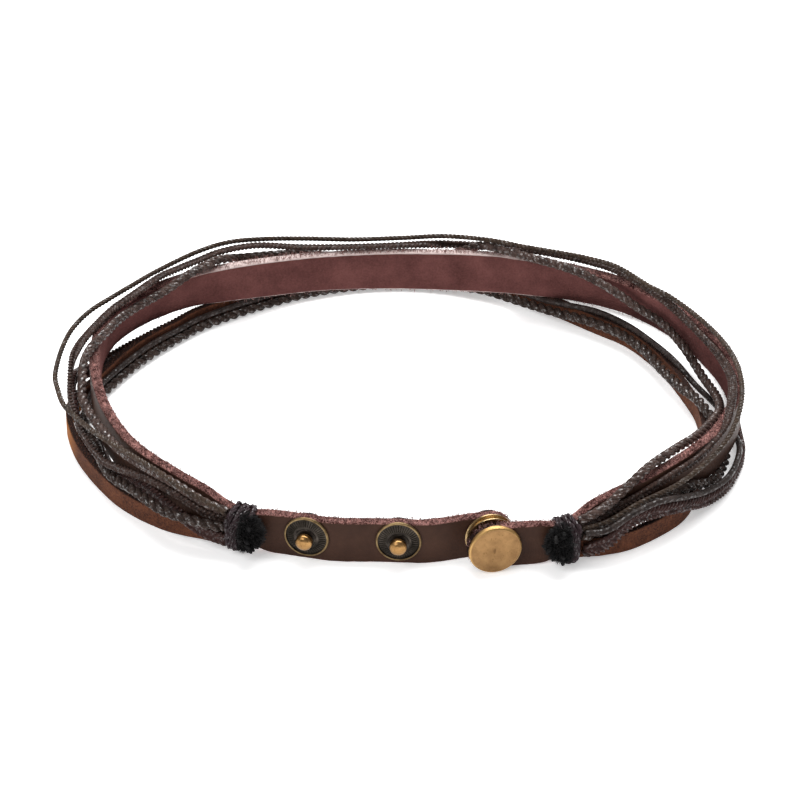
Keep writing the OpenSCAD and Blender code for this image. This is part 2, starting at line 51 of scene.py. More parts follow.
# The rows of the straps and cords: middle x and y, the height (of the lower edge for a strap, of
# the middle for a cord), roll or lean in degrees, and width share
MAIN_ROWS = [
    [20.6, -40.2, 0, 0, 1], [15.9, -41.2, 0, 0, 1], [11.2, -42.2, 0, 0, 1],
    [7.6, -43.2, 0, 0, 1], [3.8, -43.8, 0, 0, 1], [-0.5, -43.6, 0, 0, 1],
    [-4.8, -43.4, 0, 0, 1], [-9.5, -43.4, 0, 0, 1], [-13.1, -43.1, 0, 0, 1],
    [-17.3, -42.1, 0, 0, 1], [-21.5, -41.1, 0, 0, 1], [-25, -40.5, 0.4, 0, 0.95],
    [-29, -39.5, 1.9, 0, 0.74], [-32.5, -38.2, 2.4, 0, 0.78], [-36.4, -36.2, 2.6, 0, 0.97],
    [-41.1, -33.2, 3.4, 0, 1], [-46.7, -28.2, 3.9, 0, 1], [-50.7, -23.6, 4.1, 0, 1],
    [-54.1, -17.8, 4.3, 0, 1], [-57.2, -10.1, 4.3, 0, 1], [-59.3, -1.8, 4.3, 0, 1],
    [-60.4, 6, 4.3, 0, 1], [-60.7, 14, 4.3, 3, 1], [-60, 20, 4.3, 6, 1],
    [-57.6, 26.3, 4.3, 9, 1], [-52, 33.3, 4.3, 13, 1], [-43.8, 39.3, 4.3, 14, 1],
    [-35.9, 42.2, 4.3, 8, 1], [-25.4, 44.9, 4.3, 5, 1], [-14.7, 46.9, 4.3, 5, 1],
    [-0.3, 47.6, 4.3, 1, 1], [16.6, 46.6, 4.3, -2, 1], [25.4, 45.1, 4.3, 3, 1],
    [35.3, 42.2, 4.3, 12, 1], [45.6, 37, 4.3, 15, 1], [53.2, 29.6, 4.3, 14, 1],
    [58.3, 22.6, 4.3, 9, 1], [61.5, 16.3, 4.3, 5, 1], [63.7, 11, 4.3, 2, 1],
    [65.2, 4.5, 4.3, 0, 1], [65.3, -2.5, 4.3, 0, 1], [64.1, -9, 4.3, 0, 1],
    [61.9, -15, 4.3, 0, 1], [58.9, -20.6, 4.3, 0, 1], [55.3, -25.3, 4.3, 0, 1],
    [50.6, -30, 4.1, 0, 1], [45, -34.2, 3.3, 0, 1], [39.8, -37, 2.4, 0, 1],
    [35.2, -39.4, 1.6, 0, 0.95], [32, -41.4, 1.45, 0, 0.78], [29.2, -42.7, 1.25, 0, 0.74],
    [26.2, -44.1, 0.4, 0, 0.95], [22.6, -44.3, 0, 0, 1], [19.6, -44.8, 0, 0, 1],
    [16.75, -45.4, 0, 0, 1], [14.4, -45.9, 0, 0, 1], [12.2, -46.35, 0, 0, 1]]
NARROW_ROWS = [
    [-32.03, -40.22, 1.2], [-36.9, -38, 1], [-40.6, -36, 0.4], [-44.9, -33.4, 0],
    [-49.4, -30.1, 0], [-54, -25.4, 0], [-58.3, -19, 0], [-61.8, -12.4, 0],
    [-63.9, -6.6, 0], [-65.2, -1, 0], [-65.3, 4, 0], [-63.6, 8.8, 0], [-61.2, 12.8, 0],
    [-58.4, 18.5, 0], [-55.6, 23.6, 0], [-51.7, 29, 0], [-46.2, 34.8, 0], [-41.8, 39.6, 0],
    [-31.4, 46.2, 0], [-20.9, 51.9, 0], [-10, 54.9, 0], [0, 55.9, 0], [10, 54.9, 0],
    [18, 52.4, 0], [25.6, 48.7, 0], [33.6, 42.1, 0], [39.8, 36.8, 0], [46.2, 31.4, 0],
    [51, 24.4, 0], [54.3, 17.4, 0], [57.2, 8.9, 0], [58.7, 3, 0], [59.2, -4, 0],
    [59, -11, 0], [57.8, -18, 0], [55.4, -24.8, 0], [53.1, -30.3, 0], [49.2, -34.8, 0],
    [42.9, -39.7, 0], [37.4, -42.1, 0.3], [32.65, -43.1, 0.6]]
ROPE_ROWS = [
    [-32.23, -40.52, 8.7], [-36.5, -39.3, 10], [-42, -35.5, 11.5], [-47.5, -31, 12],
    [-53, -25, 12], [-56.5, -19, 12], [-59.5, -13, 12], [-61.5, -8, 12.5], [-62, -3, 13.5],
    [-62, 2, 14.5], [-61, 7.5, 14.5], [-59, 12.5, 14.3], [-56.6, 20.5, 13],
    [-53.8, 26.5, 12], [-48.1, 32.6, 12.4], [-44.2, 35.7, 13.8], [-41, 38.5, 14.4],
    [-37.5, 42, 14.2], [-33, 45.8, 12.5], [-21, 50, 11], [-9, 51, 9], [0, 51.5, 8.5],
    [8, 50.4, 10], [13, 49.3, 12.2], [17, 47.8, 14.2], [22, 45, 14.4], [27, 42.5, 14.3],
    [32.5, 40, 14], [37.5, 38, 13], [43, 34.5, 11.5], [48, 31, 9.5], [53, 26, 8.5],
    [56.8, 20.5, 6.5], [60, 13.5, 4.3], [62.2, 4.5, 5], [61.9, -4.5, 7.8], [60, -11, 9.5],
    [56, -19.5, 11.5], [52, -25.5, 13], [46, -33.5, 14], [41, -38.5, 12],
    [37, -41.5, 10], [32.85, -43.5, 8.8]]
RIBBON_ROWS = [
    [-32.03, -40.12, 6.6, 0], [-36.6, -39.2, 7.6, 0], [-42, -36, 9.5, 0],
    [-47.5, -31.5, 9.9, 0], [-53, -27, 9.2, 0], [-57, -23, 8.7, 0], [-61, -16.5, 10, 0],
    [-62.5, -12.5, 11, 0], [-64, -7.5, 12, 0], [-64.5, -2.5, 13, 0], [-64.5, 3, 14, 20],
    [-63.8, 8, 14, 60], [-62, 13.5, 14.1, 90], [-58.3, 21.7, 14.2, 90],
    [-54.2, 27.3, 14.6, 90], [-49.3, 34.2, 14.7, 90], [-45.6, 38.2, 14.4, 90],
    [-41.2, 42, 14.3, 90], [-37, 44.6, 14.7, 90], [-30, 47, 14.7, 90], [-21, 47.5, 14, 90],
    [-13, 47.5, 14, 90], [-4, 48, 14, 90], [4, 48.8, 13.9, 70], [9.5, 50.7, 12.9, 0],
    [15, 51, 12.4, 0], [20, 49, 13.2, 30], [26, 46.4, 14, 90], [33, 44, 14, 90],
    [38.5, 41.5, 14, 90], [44, 38, 14, 90], [50, 31, 14, 90], [53.8, 25.8, 13.6, 50],
    [58.8, 16.9, 12.6, 0], [62.5, 8, 12.5, 20], [64, -3, 14, 90], [63, -13, 14.4, 90],
    [60.8, -21, 13.8, 40], [56.2, -27, 12, 0], [50.2, -32.7, 11.4, 0],
    [42.2, -37.9, 9.3, 0], [37, -40.5, 8, 0], [32.55, -43, 6.3, 0]]
THIN_ROWS = [
    [-32.73, -41.82, 9.5], [-36, -41, 11.3], [-41, -38, 12.5], [-46, -33.5, 13.5],
    [-53.5, -26, 13.5], [-58.5, -20, 13], [-62.5, -14, 12.5], [-65, -10, 12.5],
    [-66.5, -5.5, 13], [-67.5, 0, 13], [-67, 8, 13.5], [-65.5, 15, 14], [-62.5, 21, 14.5],
    [-58.5, 25.5, 15], [-54.5, 30.5, 15], [-49.5, 36.5, 15], [-42, 43, 15.5],
    [-35.5, 47, 15.5], [-28, 50, 14.5], [-19.5, 51, 14], [-10, 51.5, 13.5],
    [0, 51.3, 14], [9, 50.3, 15], [18, 47.4, 15.8], [25, 44.7, 15.8],
    [32.5, 42.3, 15.7], [38, 40.5, 15.5], [44, 37, 15.5], [50, 29.5, 15.5],
    [54.5, 25.5, 15], [60, 17.5, 14.5], [64, 8, 14.5], [65.5, -3, 15.5], [65, -13, 15.5],
    [62.4, -21.8, 14], [58, -27.8, 12], [51.5, -33.8, 10.2], [44, -39.2, 9.7],
    [38, -42.7, 8], [33.15, -44.1, 7.3]]
BEADED_ROWS = [
    [-32.83, -41.42, 5.75], [-37.3, -41.2, 6.8], [-44.2, -37.8, 7], [-49.8, -31.5, 7],
    [-55, -25, 6.2], [-58, -17, 5.5], [-59.4, -9.6, 2.9], [-61.4, -3, 1.4],
    [-62.6, 3, 1.2], [-61.3, 8.5, 1.2], [-59, 13, 1.2], [-55, 20.3, 1.2],
    [-50.2, 27.2, 1.2], [-45, 33.2, 1.2], [-40.3, 37.8, 1.2], [-30.5, 44.5, 1.2],
    [-20, 50, 1.2], [-10, 53, 1.2], [0, 54, 1.5], [9, 52.9, 1.7], [17, 50.3, 2],
    [24.3, 46.1, 1.9], [32.1, 40, 2.7], [38.3, 35.5, 3.5], [45, 30, 3.5],
    [49.4, 23.5, 3.5], [52.4, 16.5, 3.5], [55.4, 9, 4.3], [58, 3, 5.5], [60.3, -2.5, 5.1],
    [62.5, -7.5, 3.3], [62.5, -13.5, 3], [61, -19, 3], [58.7, -24.6, 4.5],
    [54.3, -29.7, 7], [48.7, -34.6, 7.6], [43.1, -38.3, 6.8], [38.2, -41.6, 5.9],
    [33.35, -44.3, 5.6]]
BRAID_ROWS = [
    [-32.63, -41.42, 2.9, 0], [-37.4, -39.9, 4.2, 0], [-43.2, -36, 6.6, 0], [-48.5, -29.7, 6.8, 0],
    [-55.1, -20.6, 3, 0], [-59.4, -14.4, 1.8, 0], [-61.9, -8.5, 1.8, 0],
    [-63.2, -2.5, 2.8, 0], [-64.1, 1.5, 5.9, 0], [-65, 6, 6.2, 0], [-65, 10, 6, 0],
    [-64.5, 14, 4.5, 0], [-62.5, 18.5, 2.5, 0], [-58, 25, 1.8, 0], [-53, 30.5, 1.8, 0],
    [-47.5, 36, 1.8, 0], [-42.5, 41, 1.8, 0], [-32, 47.5, 1.8, 0], [-21.5, 53.5, 1.8, 0],
    [-10.5, 56.5, 1.8, 0], [0, 57.5, 1.8, 0], [10.5, 56.5, 1.8, 0], [19.5, 54.5, 1.8, 0],
    [28, 52, 1.8, 0], [36, 49.5, 1.8, 0], [46.5, 44, 1.8, 0], [54.5, 37, 1.8, 0],
    [61.5, 25, 1.8, 0], [64, 18, 1.8, 0], [65.3, 11, 1.8, 0], [65.7, 3, 1.8, 0],
    [66, -5, 1.8, 0], [66, -11.5, 1.8, 0], [64, -18, 1.8, 0], [61.5, -23, 1.8, 0],
    [57.5, -28, 2.5, 0], [53.1, -33.2, 5, 0], [47.5, -37.9, 6.9, 0], [42.5, -41.2, 7, 0],
    [38, -44, 4.35, 0], [33.65, -44.3, 2.55, 0]]
SMOOTH_ROWS = [
    [-31.33, -38.62, 1.1], [-36.5, -36, 1], [-41, -33, 0.8], [-46.5, -28.5, 0.8],
    [-51, -23, 0.8], [-55, -16.5, 0.8], [-57.7, -9.3, 0.9], [-59.7, -3, 3.1], [-62, 3, 3.2],
    [-61.7, 8.5, 3], [-59.7, 13, 2.8], [-55.7, 20.3, 2.8], [-51, 27.4, 2.8],
    [-45.6, 33.3, 2.8], [-40.8, 38.2, 2.8], [-30.9, 44.8, 2.8], [-20.2, 50.5, 2.8],
    [-10, 53.6, 2.9], [0, 54.5, 3.2], [9, 53.7, 3.4], [17.3, 51.1, 3.5], [24.8, 47.1, 3.4],
    [29, 43.9, 3.6], [32.8, 41, 4.3], [40, 36.7, 5.06], [46.2, 31.3, 5],
    [51, 24.5, 5], [54.8, 17.5, 5.1],
    [58.5, 13, 2.6], [61.3, 9, 1.6], [63.6, 3, 1.8], [64.3, -4, 3.1], [65.3, -10.5, 4],
    [64.7, -16, 4.3], [62.3, -22.7, 4.5], [58, -28.4, 5.2], [53.3, -33.8, 7.5],
    [48, -38.4, 9.6], [43, -41.9, 9.4], [38, -44.5, 7.4], [33.95, -45, 7]]


# Camera: a long lens, 33 degrees above the floor
CAMERA_AIM = (-0.3, 7.0, 0.0)
CAMERA_TILT = math.radians(33)
CAMERA_FAR = 0.64
cam = bpy.data.objects.new("camera", bpy.data.cameras.new("camera"))
scene.collection.objects.link(cam)
cam.data.lens = 144
cam.data.sensor_width = 36
cam.data.clip_start = 0.01
cam.data.clip_end = 20
back_off = np.array([0, -math.cos(CAMERA_TILT), math.sin(CAMERA_TILT)])
cam.location = np.array(CAMERA_AIM) * MM + CAMERA_FAR * back_off
cam.rotation_euler = (math.pi / 2 - CAMERA_TILT, 0, 0)
scene.camera = cam


# Curves through the rows. A cord's middle is never lower than this above its half height
CORD_GAP = 0.05


def placed(rows, half=0.0):
    out = []
    for r in rows:
        r = list(r) + [0, 1][len(r) - 3:] if len(r) < 5 else list(r)
        out.append([r[0], r[1] - ORIGIN_Y, max(r[2], half + CORD_GAP if half else r[2]), r[3], r[4]])
    return np.array(out, float)


def spot(rows, u):
    u = np.atleast_1d(np.asarray(u, float))
    k = np.clip(np.floor(u).astype(int), 0, len(rows) - 2)
    t = (u - k)[:, None]
    ends = np.vstack([2 * rows[0] - rows[1], rows, 2 * rows[-1] - rows[-2]])
    a, b, c, d = ends[k], ends[k + 1], ends[k + 2], ends[k + 3]
    return (2 * b + (c - a) * t + (2 * a - 5 * b + 4 * c - d) * t**2 + (3 * b - a - 3 * c + d) * t**3) / 2


def ahead(rows, u):
    u = np.atleast_1d(np.asarray(u, float))
    v = spot(rows, np.minimum(u + 0.05, len(rows) - 1)) - spot(rows, np.maximum(u - 0.05, 0))
    v = v[:, :3] * [1, 1, 0]
    return v / np.linalg.norm(v, axis=1)[:, None]


def outward(rows, u):
    v = ahead(rows, u)
    return np.stack([-v[:, 1], v[:, 0], 0 * v[:, 0]], 1)


def even_steps(rows, step):
    """Row numbers at even distances of about step along the curve."""
    u = np.linspace(0, len(rows) - 1, 60 * len(rows))
    p = spot(rows, u)[:, :3]
    run = np.concatenate([[0], np.cumsum(np.linalg.norm(np.diff(p, axis=0), axis=1))])
    count = max(2, int(run[-1] / step))
    marks = np.linspace(0, run[-1], count)
    return np.interp(marks, run, u), marks


UP = np.array([0, 0, 1.0])
MAIN = placed(MAIN_ROWS)
NARROW = placed(NARROW_ROWS)


def strap_frame(u):
    """Middle of the main strap, the direction out of its face and the one up its width."""
    p = spot(MAIN, u)
    o = outward(MAIN, u)
    lean = np.radians(p[:, 3])[:, None]
    side = o * np.cos(lean) + UP * np.sin(lean)
    up = UP * np.cos(lean) - o * np.sin(lean)
    mid = np.stack([p[:, 0], p[:, 1], np.maximum(p[:, 2], 0) + STRAP_W * p[:, 4] / 2], 1)
    return mid, side, up, p[:, 4]


# Meshes
def mesh_piece(name, points, faces, uv=None, marks=None, smooth=True):
    """A mesh object from points in millimetres; marks are named numbers, one for each point."""
    me = bpy.data.meshes.new(name)
    me.from_pydata((np.asarray(points) * MM).tolist(), [], faces)
    for key, values in (marks or {}).items():
        me.attributes.new(key, "FLOAT", "POINT").data.foreach_set("value", np.asarray(values, float).ravel())
    if uv is not None:
        layer = me.uv_layers.new(name="UVMap")
        at = np.empty(len(me.loops), int)
        me.loops.foreach_get("vertex_index", at)
        layer.data.foreach_set("uv", np.asarray(uv, float)[at].ravel())
    me.polygons.foreach_set("use_smooth", [smooth] * len(me.polygons))
    me.update()
    ob = bpy.data.objects.new(name, me)
    scene.collection.objects.link(ob)
    return ob


def skin_faces(rings, sides):
    faces = [[i * sides + j, i * sides + (j + 1) % sides, (i + 1) * sides + (j + 1) % sides,
        (i + 1) * sides + j]
        for i in range(rings - 1) for j in range(sides)]
    return faces + [list(range(sides))[::-1], [(rings - 1) * sides + j for j in range(sides)]]


def strip_outline(t, w, soft, face_points, crown):
    """Outline of a strip: offset, height and zone, which is 1 on the outer face, 0 on the cut
    edges and -1 on the inner face."""
    a, b = t / 2, w / 2
    half = [(a, v * (b - soft), 1) for v in np.linspace(-1, 1, face_points)]
    corner = [(a - soft + soft * math.cos(math.radians(v)), b - soft + soft * math.sin(math.radians(v)), 0.4)
        for v in (30, 60)]
    edge = [(v * (a - soft), b + crown * (1 - v * v), 0) for v in np.linspace(1, -1, 5)]
    half += corner + edge + [(-x, y, -zone) for x, y, zone in corner[::-1]]
    return np.array(half + [(-x, -y, -zone) for x, y, zone in half])


# No strip dips below this height
LOWEST = 0.02


def strip_mesh(name, mid, side, up, run, shape, widths, rough, seed, extra=None):
    """A leather strip swept through its frames; rough is how far the cut edges wander."""
    rng = np.random.default_rng(seed)
    n, m = len(mid), len(shape)
    edge = 1 - np.abs(shape[:, 2])
    points, uv, zone = [], [], []
    ragged = rng.normal(0, 1, (n, m))
    for k in range(2):
        ragged[1:-1] = (ragged[:-2] + 2 * ragged[1:-1] + ragged[2:]) / 4
    for i in range(n):
        h = shape[:, 1] * widths[i] + rough * ragged[i] * edge * np.sign(shape[:, 1])
        o = shape[:, 0] + 0.35 * rough * ragged[i][::-1] * edge
        points.append(mid[i] + side[i] * o[:, None] + up[i] * h[:, None])
        points[-1][:, 2] = np.maximum(points[-1][:, 2], LOWEST)
        uv.append(np.stack([np.full(m, run[i]), shape[:, 1]], 1))
        zone.append(shape[:, 2])
    marks = {"zone": np.concatenate(zone), "run": np.repeat(run, m)}
    for key, values in (extra or {}).items():
        marks[key] = np.repeat(values, m)
    return mesh_piece(name, np.concatenate(points), skin_faces(n, m), np.concatenate(uv), marks)


# Node trees
def put(tree, kind, props=None, ins=None):
    """Adds one node, with its settings and with what its sockets are given or linked to. The
    setting ramp gives a colour ramp's two places and colours."""
    n = tree.nodes.new(kind)
    for key, value in (props or {}).items():
        if key == "ramp":
            for element, (place, colour) in zip(n.color_ramp.elements, value):
                element.position, element.color = place, hex_colour(colour)
        else:
            setattr(n, key, value)
    for key, value in (ins or {}).items():
        socket = n.inputs[key]
        if isinstance(value, bpy.types.NodeSocket):
            tree.links.new(value, socket)
        else:
            socket.default_value = value
    return n


def geometry_tree(name, sizes):
    """A tree with a mesh in and out, and named sizes; a whole number makes a whole-number input."""
    tree = bpy.data.node_groups.new(name, "GeometryNodeTree")
    tree.interface.new_socket("Geometry", in_out="INPUT", socket_type="NodeSocketGeometry")
    for key, value in sizes.items():
        kind = "NodeSocketInt" if isinstance(value, int) else "NodeSocketFloat"
        tree.interface.new_socket(key, in_out="INPUT", socket_type=kind).default_value = value
    tree.interface.new_socket("Material", in_out="INPUT", socket_type="NodeSocketMaterial")
    tree.interface.new_socket("Geometry", in_out="OUTPUT", socket_type="NodeSocketGeometry")
    return tree, put(tree, "NodeGroupInput"), put(tree, "NodeGroupOutput")


def finish_tree(tree, last, given, done):
    real = put(tree, "GeometryNodeRealizeInstances", ins={0: last})
    paint = put(tree, "GeometryNodeSetMaterial", ins={"Geometry": real.outputs[0],
        "Material": given.outputs["Material"]})
    tree.links.new(paint.outputs[0], done.inputs[0])


def strands_tree(name, normal_mode):
    """Twisted strands round a path; the path is a line of points with the number run, its length in
    metres."""
    tree, given, done = geometry_tree(name, {"Strands": 3, "Lay radius": 0.0005, "Strand radius": 0.0005,
        "Pitch": 0.004, "Sides": 8})
    line = put(tree, "GeometryNodeMeshToCurve", ins={"Mesh": given.outputs["Geometry"]})
    turned = put(tree, "GeometryNodeSetCurveNormal", {"mode": normal_mode}, {"Curve": line.outputs[0]})
    many = put(tree, "GeometryNodeDuplicateElements", {"domain": "SPLINE"},
        {"Geometry": turned.outputs[0], "Amount": given.outputs["Strands"]})
    run = put(tree, "GeometryNodeInputNamedAttribute", {"data_type": "FLOAT"}, {"Name": "run"})
    share = put(tree, "ShaderNodeMath", {"operation": "DIVIDE"},
        {0: many.outputs["Duplicate Index"], 1: given.outputs["Strands"]})
    lay = put(tree, "ShaderNodeMath", {"operation": "DIVIDE"},
        {0: run.outputs["Attribute"], 1: given.outputs["Pitch"]})
    both = put(tree, "ShaderNodeMath", {"operation": "ADD"}, {0: share.outputs[0], 1: lay.outputs[0]})
    angle = put(tree, "ShaderNodeMath", {"operation": "MULTIPLY"}, {0: both.outputs[0], 1: 2 * math.pi})
    cos = put(tree, "ShaderNodeMath", {"operation": "COSINE"}, {0: angle.outputs[0]})
    sin = put(tree, "ShaderNodeMath", {"operation": "SINE"}, {0: angle.outputs[0]})
    tangent = put(tree, "GeometryNodeInputTangent")
    normal = put(tree, "GeometryNodeInputNormal")
    third = put(tree, "ShaderNodeVectorMath", {"operation": "CROSS_PRODUCT"},
        {0: tangent.outputs[0], 1: normal.outputs[0]})
    one = put(tree, "ShaderNodeVectorMath", {"operation": "SCALE"},
        {0: normal.outputs[0], "Scale": cos.outputs[0]})
    two = put(tree, "ShaderNodeVectorMath", {"operation": "SCALE"},
        {0: third.outputs[0], "Scale": sin.outputs[0]})
    way = put(tree, "ShaderNodeVectorMath", {"operation": "ADD"}, {0: one.outputs[0], 1: two.outputs[0]})
    step = put(tree, "ShaderNodeVectorMath", {"operation": "SCALE"},
        {0: way.outputs[0], "Scale": given.outputs["Lay radius"]})
    moved = put(tree, "GeometryNodeSetPosition", ins={"Geometry": many.outputs["Geometry"],
        "Offset": step.outputs[0]})
    circle = put(tree, "GeometryNodeCurvePrimitiveCircle", {"mode": "RADIUS"},
        {"Resolution": given.outputs["Sides"], "Radius": given.outputs["Strand radius"]})
    place = put(tree, "GeometryNodeSplineParameter")
    ringed = put(tree, "GeometryNodeStoreNamedAttribute", {"data_type": "FLOAT", "domain": "POINT"},
        {"Geometry": circle.outputs[0], "Name": "round", "Value": place.outputs["Factor"]})
    tube = put(tree, "GeometryNodeCurveToMesh", ins={"Curve": moved.outputs[0],
        "Profile Curve": ringed.outputs[0], "Fill Caps": True})
    finish_tree(tree, tube.outputs[0], given, done)
    return tree


def scatter_tree(name, shape):
    """A small shape on each point, turned by the point's turn and scaled by its size."""
    tree, given, done = geometry_tree(name, {"Long parts": 8, "Round parts": 6})
    if shape == "pill":
        small = put(tree, "GeometryNodeMeshUVSphere",
            ins={"Segments": given.outputs["Long parts"], "Rings": given.outputs["Round parts"],
            "Radius": 0.5})
    elif shape == "hair":
        small = put(tree, "GeometryNodeMeshCone", ins={"Vertices": given.outputs["Round parts"],
            "Radius Top": 0.2, "Radius Bottom": 0.5, "Depth": 1.0})
    else:
        small = put(tree, "GeometryNodeMeshCube", ins={"Size": (1, 1, 1)})
    turn = put(tree, "GeometryNodeInputNamedAttribute", {"data_type": "FLOAT_VECTOR"}, {"Name": "turn"})
    size = put(tree, "GeometryNodeInputNamedAttribute", {"data_type": "FLOAT_VECTOR"}, {"Name": "size"})
    spin = put(tree, "FunctionNodeEulerToRotation", ins={0: turn.outputs["Attribute"]})
    spread = put(tree, "GeometryNodeInstanceOnPoints",
        ins={"Points": given.outputs["Geometry"], "Instance": small.outputs["Mesh"],
        "Rotation": spin.outputs[0], "Scale": size.outputs["Attribute"]})
    smooth = put(tree, "GeometryNodeSetShadeSmooth",
        ins={"Geometry": spread.outputs[0], "Shade Smooth": shape != "rib"})
    finish_tree(tree, smooth.outputs[0], given, done)
    return tree


def grown(name, source, tree, sizes, material):
    """The plain mesh that a tree makes from a source object, which goes away."""
    m = source.modifiers.new("grow", "NODES")
    m.node_group = tree
    keys = {i.name: i.identifier for i in tree.interface.items_tree if i.in_out == "INPUT"}
    for key, value in sizes.items():
        m[keys[key]] = value
    m[keys["Material"]] = material
    shot = source.evaluated_get(bpy.context.evaluated_depsgraph_get())
    me = bpy.data.meshes.new_from_object(shot)
    me.name = name
    bpy.data.objects.remove(source)
    ob = bpy.data.objects.new(name, me)
    scene.collection.objects.link(ob)
    if not me.materials:
        me.materials.append(material)
    return ob


def line_source(points, run):
    me = bpy.data.meshes.new("path")
    me.from_pydata((np.asarray(points) * MM).tolist(), [(i, i + 1) for i in range(len(points) - 1)], [])
    me.attributes.new("run", "FLOAT", "POINT").data.foreach_set("value", np.asarray(run, float) * MM)
    ob = bpy.data.objects.new("path", me)
    scene.collection.objects.link(ob)
    return ob


def point_source(points, axes, sizes, tint):
    """Points with a turn whose columns are the three axes, a size in millimetres and a tint."""
    me = bpy.data.meshes.new("marks")
    me.from_pydata((np.asarray(points) * MM).tolist(), [], [])
    turns = [Matrix(np.stack(a, 1).tolist()).to_euler() for a in axes]
    me.attributes.new("turn", "FLOAT_VECTOR", "POINT").data.foreach_set("vector",
        np.array([list(t) for t in turns]).ravel())
    me.attributes.new("size", "FLOAT_VECTOR", "POINT").data.foreach_set("vector",
        (np.asarray(sizes, float) * MM).ravel())
    me.attributes.new("tint", "FLOAT", "POINT").data.foreach_set("value", np.asarray(tint, float))
    ob = bpy.data.objects.new("marks", me)
    scene.collection.objects.link(ob)
    return ob


def joined(name, *obs):
    """One mesh from several, with each one's material kept."""
    bpy.ops.object.select_all(action="DESELECT")
    for o in obs:
        o.select_set(True)
    bpy.context.view_layer.objects.active = obs[0]
    bpy.ops.object.join()
    obs[0].name = name
    obs[0].data.name = name
    return obs[0]


# Colours
def hex_colour(text):
    out = []
    for i in (1, 3, 5):
        c = int(text[i:i + 2], 16) / 255
        out.append(c / 12.92 if c <= 0.04045 else ((c + 0.055) / 1.055) ** 2.4)
    return (*out, 1.0)


def start_material(name, roughness, metallic=0.0, **sockets):
    m = bpy.data.materials.new(name)
    m.use_nodes = True
    t = m.node_tree
    t.nodes.clear()
    p = put(t, "ShaderNodeBsdfPrincipled", ins={"Roughness": roughness, "Metallic": metallic})
    if not metallic:
        p.inputs["Specular IOR Level"].default_value = 0.2
    for key, value in sockets.items():
        p.inputs[key.replace("_", " ")].default_value = value
    put(t, "ShaderNodeOutputMaterial", ins={"Surface": p.outputs[0]})
    return m, t, p


def main_leather():
    """Full-grain cowhide, pigmented dark brown: a satin face with fine pores, raw suede behind, cut edges
    left rough."""
    m, t, p = start_material("pigmented cowhide, suede back", 0.5, Specular_IOR_Level=0.08)
    where = put(t, "ShaderNodeTexCoord").outputs["Object"]
    zone = put(t, "ShaderNodeAttribute", {"attribute_name": "zone"}).outputs["Fac"]
    painted_highlight_and_dark_end = put(t, "ShaderNodeAttribute", {"attribute_name": "painted_highlight_and_dark_end"}).outputs["Fac"]
    cloud = put(t, "ShaderNodeTexNoise", ins={"Vector": where, "Scale": 140.0, "Detail": 4.0,
        "Roughness": 0.6}).outputs[0]
    nap = put(t, "ShaderNodeTexNoise", ins={"Vector": where, "Scale": 2600.0, "Detail": 3.0,
        "Roughness": 0.7}).outputs[0]
    pores = put(t, "ShaderNodeTexVoronoi", ins={"Vector": where, "Scale": 2200.0}).outputs["Distance"]
    speck = put(t, "ShaderNodeTexNoise", ins={"Vector": where, "Scale": 3000.0, "Detail": 3.0,
        "Roughness": 0.8}).outputs[0]
    face = put(t, "ShaderNodeValToRGB", {"ramp": ((0.3, "#33211a"), (0.75, "#442e24"))}, {0: cloud})
    back_mix = put(t, "ShaderNodeMath", {"operation": "MULTIPLY_ADD"}, {0: nap, 1: 0.6, 2: -0.3})
    back_in = put(t, "ShaderNodeMath", {"operation": "ADD"}, {0: cloud, 1: back_mix.outputs[0]})
    back = put(t, "ShaderNodeValToRGB", {"ramp": ((0.2, "#452826"), (0.8, "#6d4542"))},
        {0: back_in.outputs[0]})
    tuft = put(t, "ShaderNodeTexNoise", ins={"Vector": where, "Scale": 480.0, "Detail": 2.0,
        "Roughness": 0.6}).outputs[0]
    mixed = put(t, "ShaderNodeMath", {"operation": "MULTIPLY_ADD"}, {0: tuft, 1: 0.5, 2: -0.25})
    specks = put(t, "ShaderNodeMath", {"operation": "ADD"}, {0: speck, 1: mixed.outputs[0]})
    edge = put(t, "ShaderNodeValToRGB", {"ramp": ((0.42, "#331a18"), (0.62, "#a0746e"))},
        {0: specks.outputs[0]})
    # painted highlight: where the attribute is above 0 the cut edge is mixed towards near white
    light = put(t, "ShaderNodeMix", {"data_type": "RGBA"},
        {0: painted_highlight_and_dark_end, 6: edge.outputs[0], 7: hex_colour("#cbbab6")})
    # where the attribute is below 0 the cut edge is darkened towards dark brown, on the tab's end next to
    # the snap's cap
    darker_end = put(t, "ShaderNodeMath", {"operation": "MULTIPLY"}, {0: painted_highlight_and_dark_end, 1: -1.0})
    lit = put(t, "ShaderNodeMix", {"data_type": "RGBA"},
        {0: darker_end.outputs[0], 6: light.outputs[2], 7: hex_colour("#1d1210")})
    is_face = put(t, "ShaderNodeMapRange", ins={"Value": zone, 1: 0.3, 2: 0.75})
    is_back = put(t, "ShaderNodeMapRange", ins={"Value": zone, 1: -0.35, 2: -0.8})
    one = put(t, "ShaderNodeMix", {"data_type": "RGBA"},
        {0: is_face.outputs[0], 6: lit.outputs[2], 7: face.outputs[0]})
    two = put(t, "ShaderNodeMix", {"data_type": "RGBA"},
        {0: is_back.outputs[0], 6: one.outputs[2], 7: back.outputs[0]})
    t.links.new(two.outputs[2], p.inputs["Base Color"])
    gloss = put(t, "ShaderNodeMapRange", ins={"Value": zone, 1: 0.3, 2: 0.9, 3: 0.95, 4: 0.42})
    wave = put(t, "ShaderNodeMath", {"operation": "MULTIPLY_ADD"}, {0: cloud, 1: 0.12, 2: gloss.outputs[0]})
    t.links.new(wave.outputs[0], p.inputs["Roughness"])
    grain = put(t, "ShaderNodeMix", {"data_type": "FLOAT"}, {0: is_face.outputs[0], 2: nap, 3: pores})
    depth = put(t, "ShaderNodeMapRange", ins={"Value": zone, 1: 0.3, 2: 0.9, 3: 0.9, 4: 0.22})
    bump = put(t, "ShaderNodeBump", ins={"Height": grain.outputs[0], "Distance": 0.00012,
        "Strength": depth.outputs[0]})
    t.links.new(bump.outputs[0], p.inputs["Normal"])
    return m


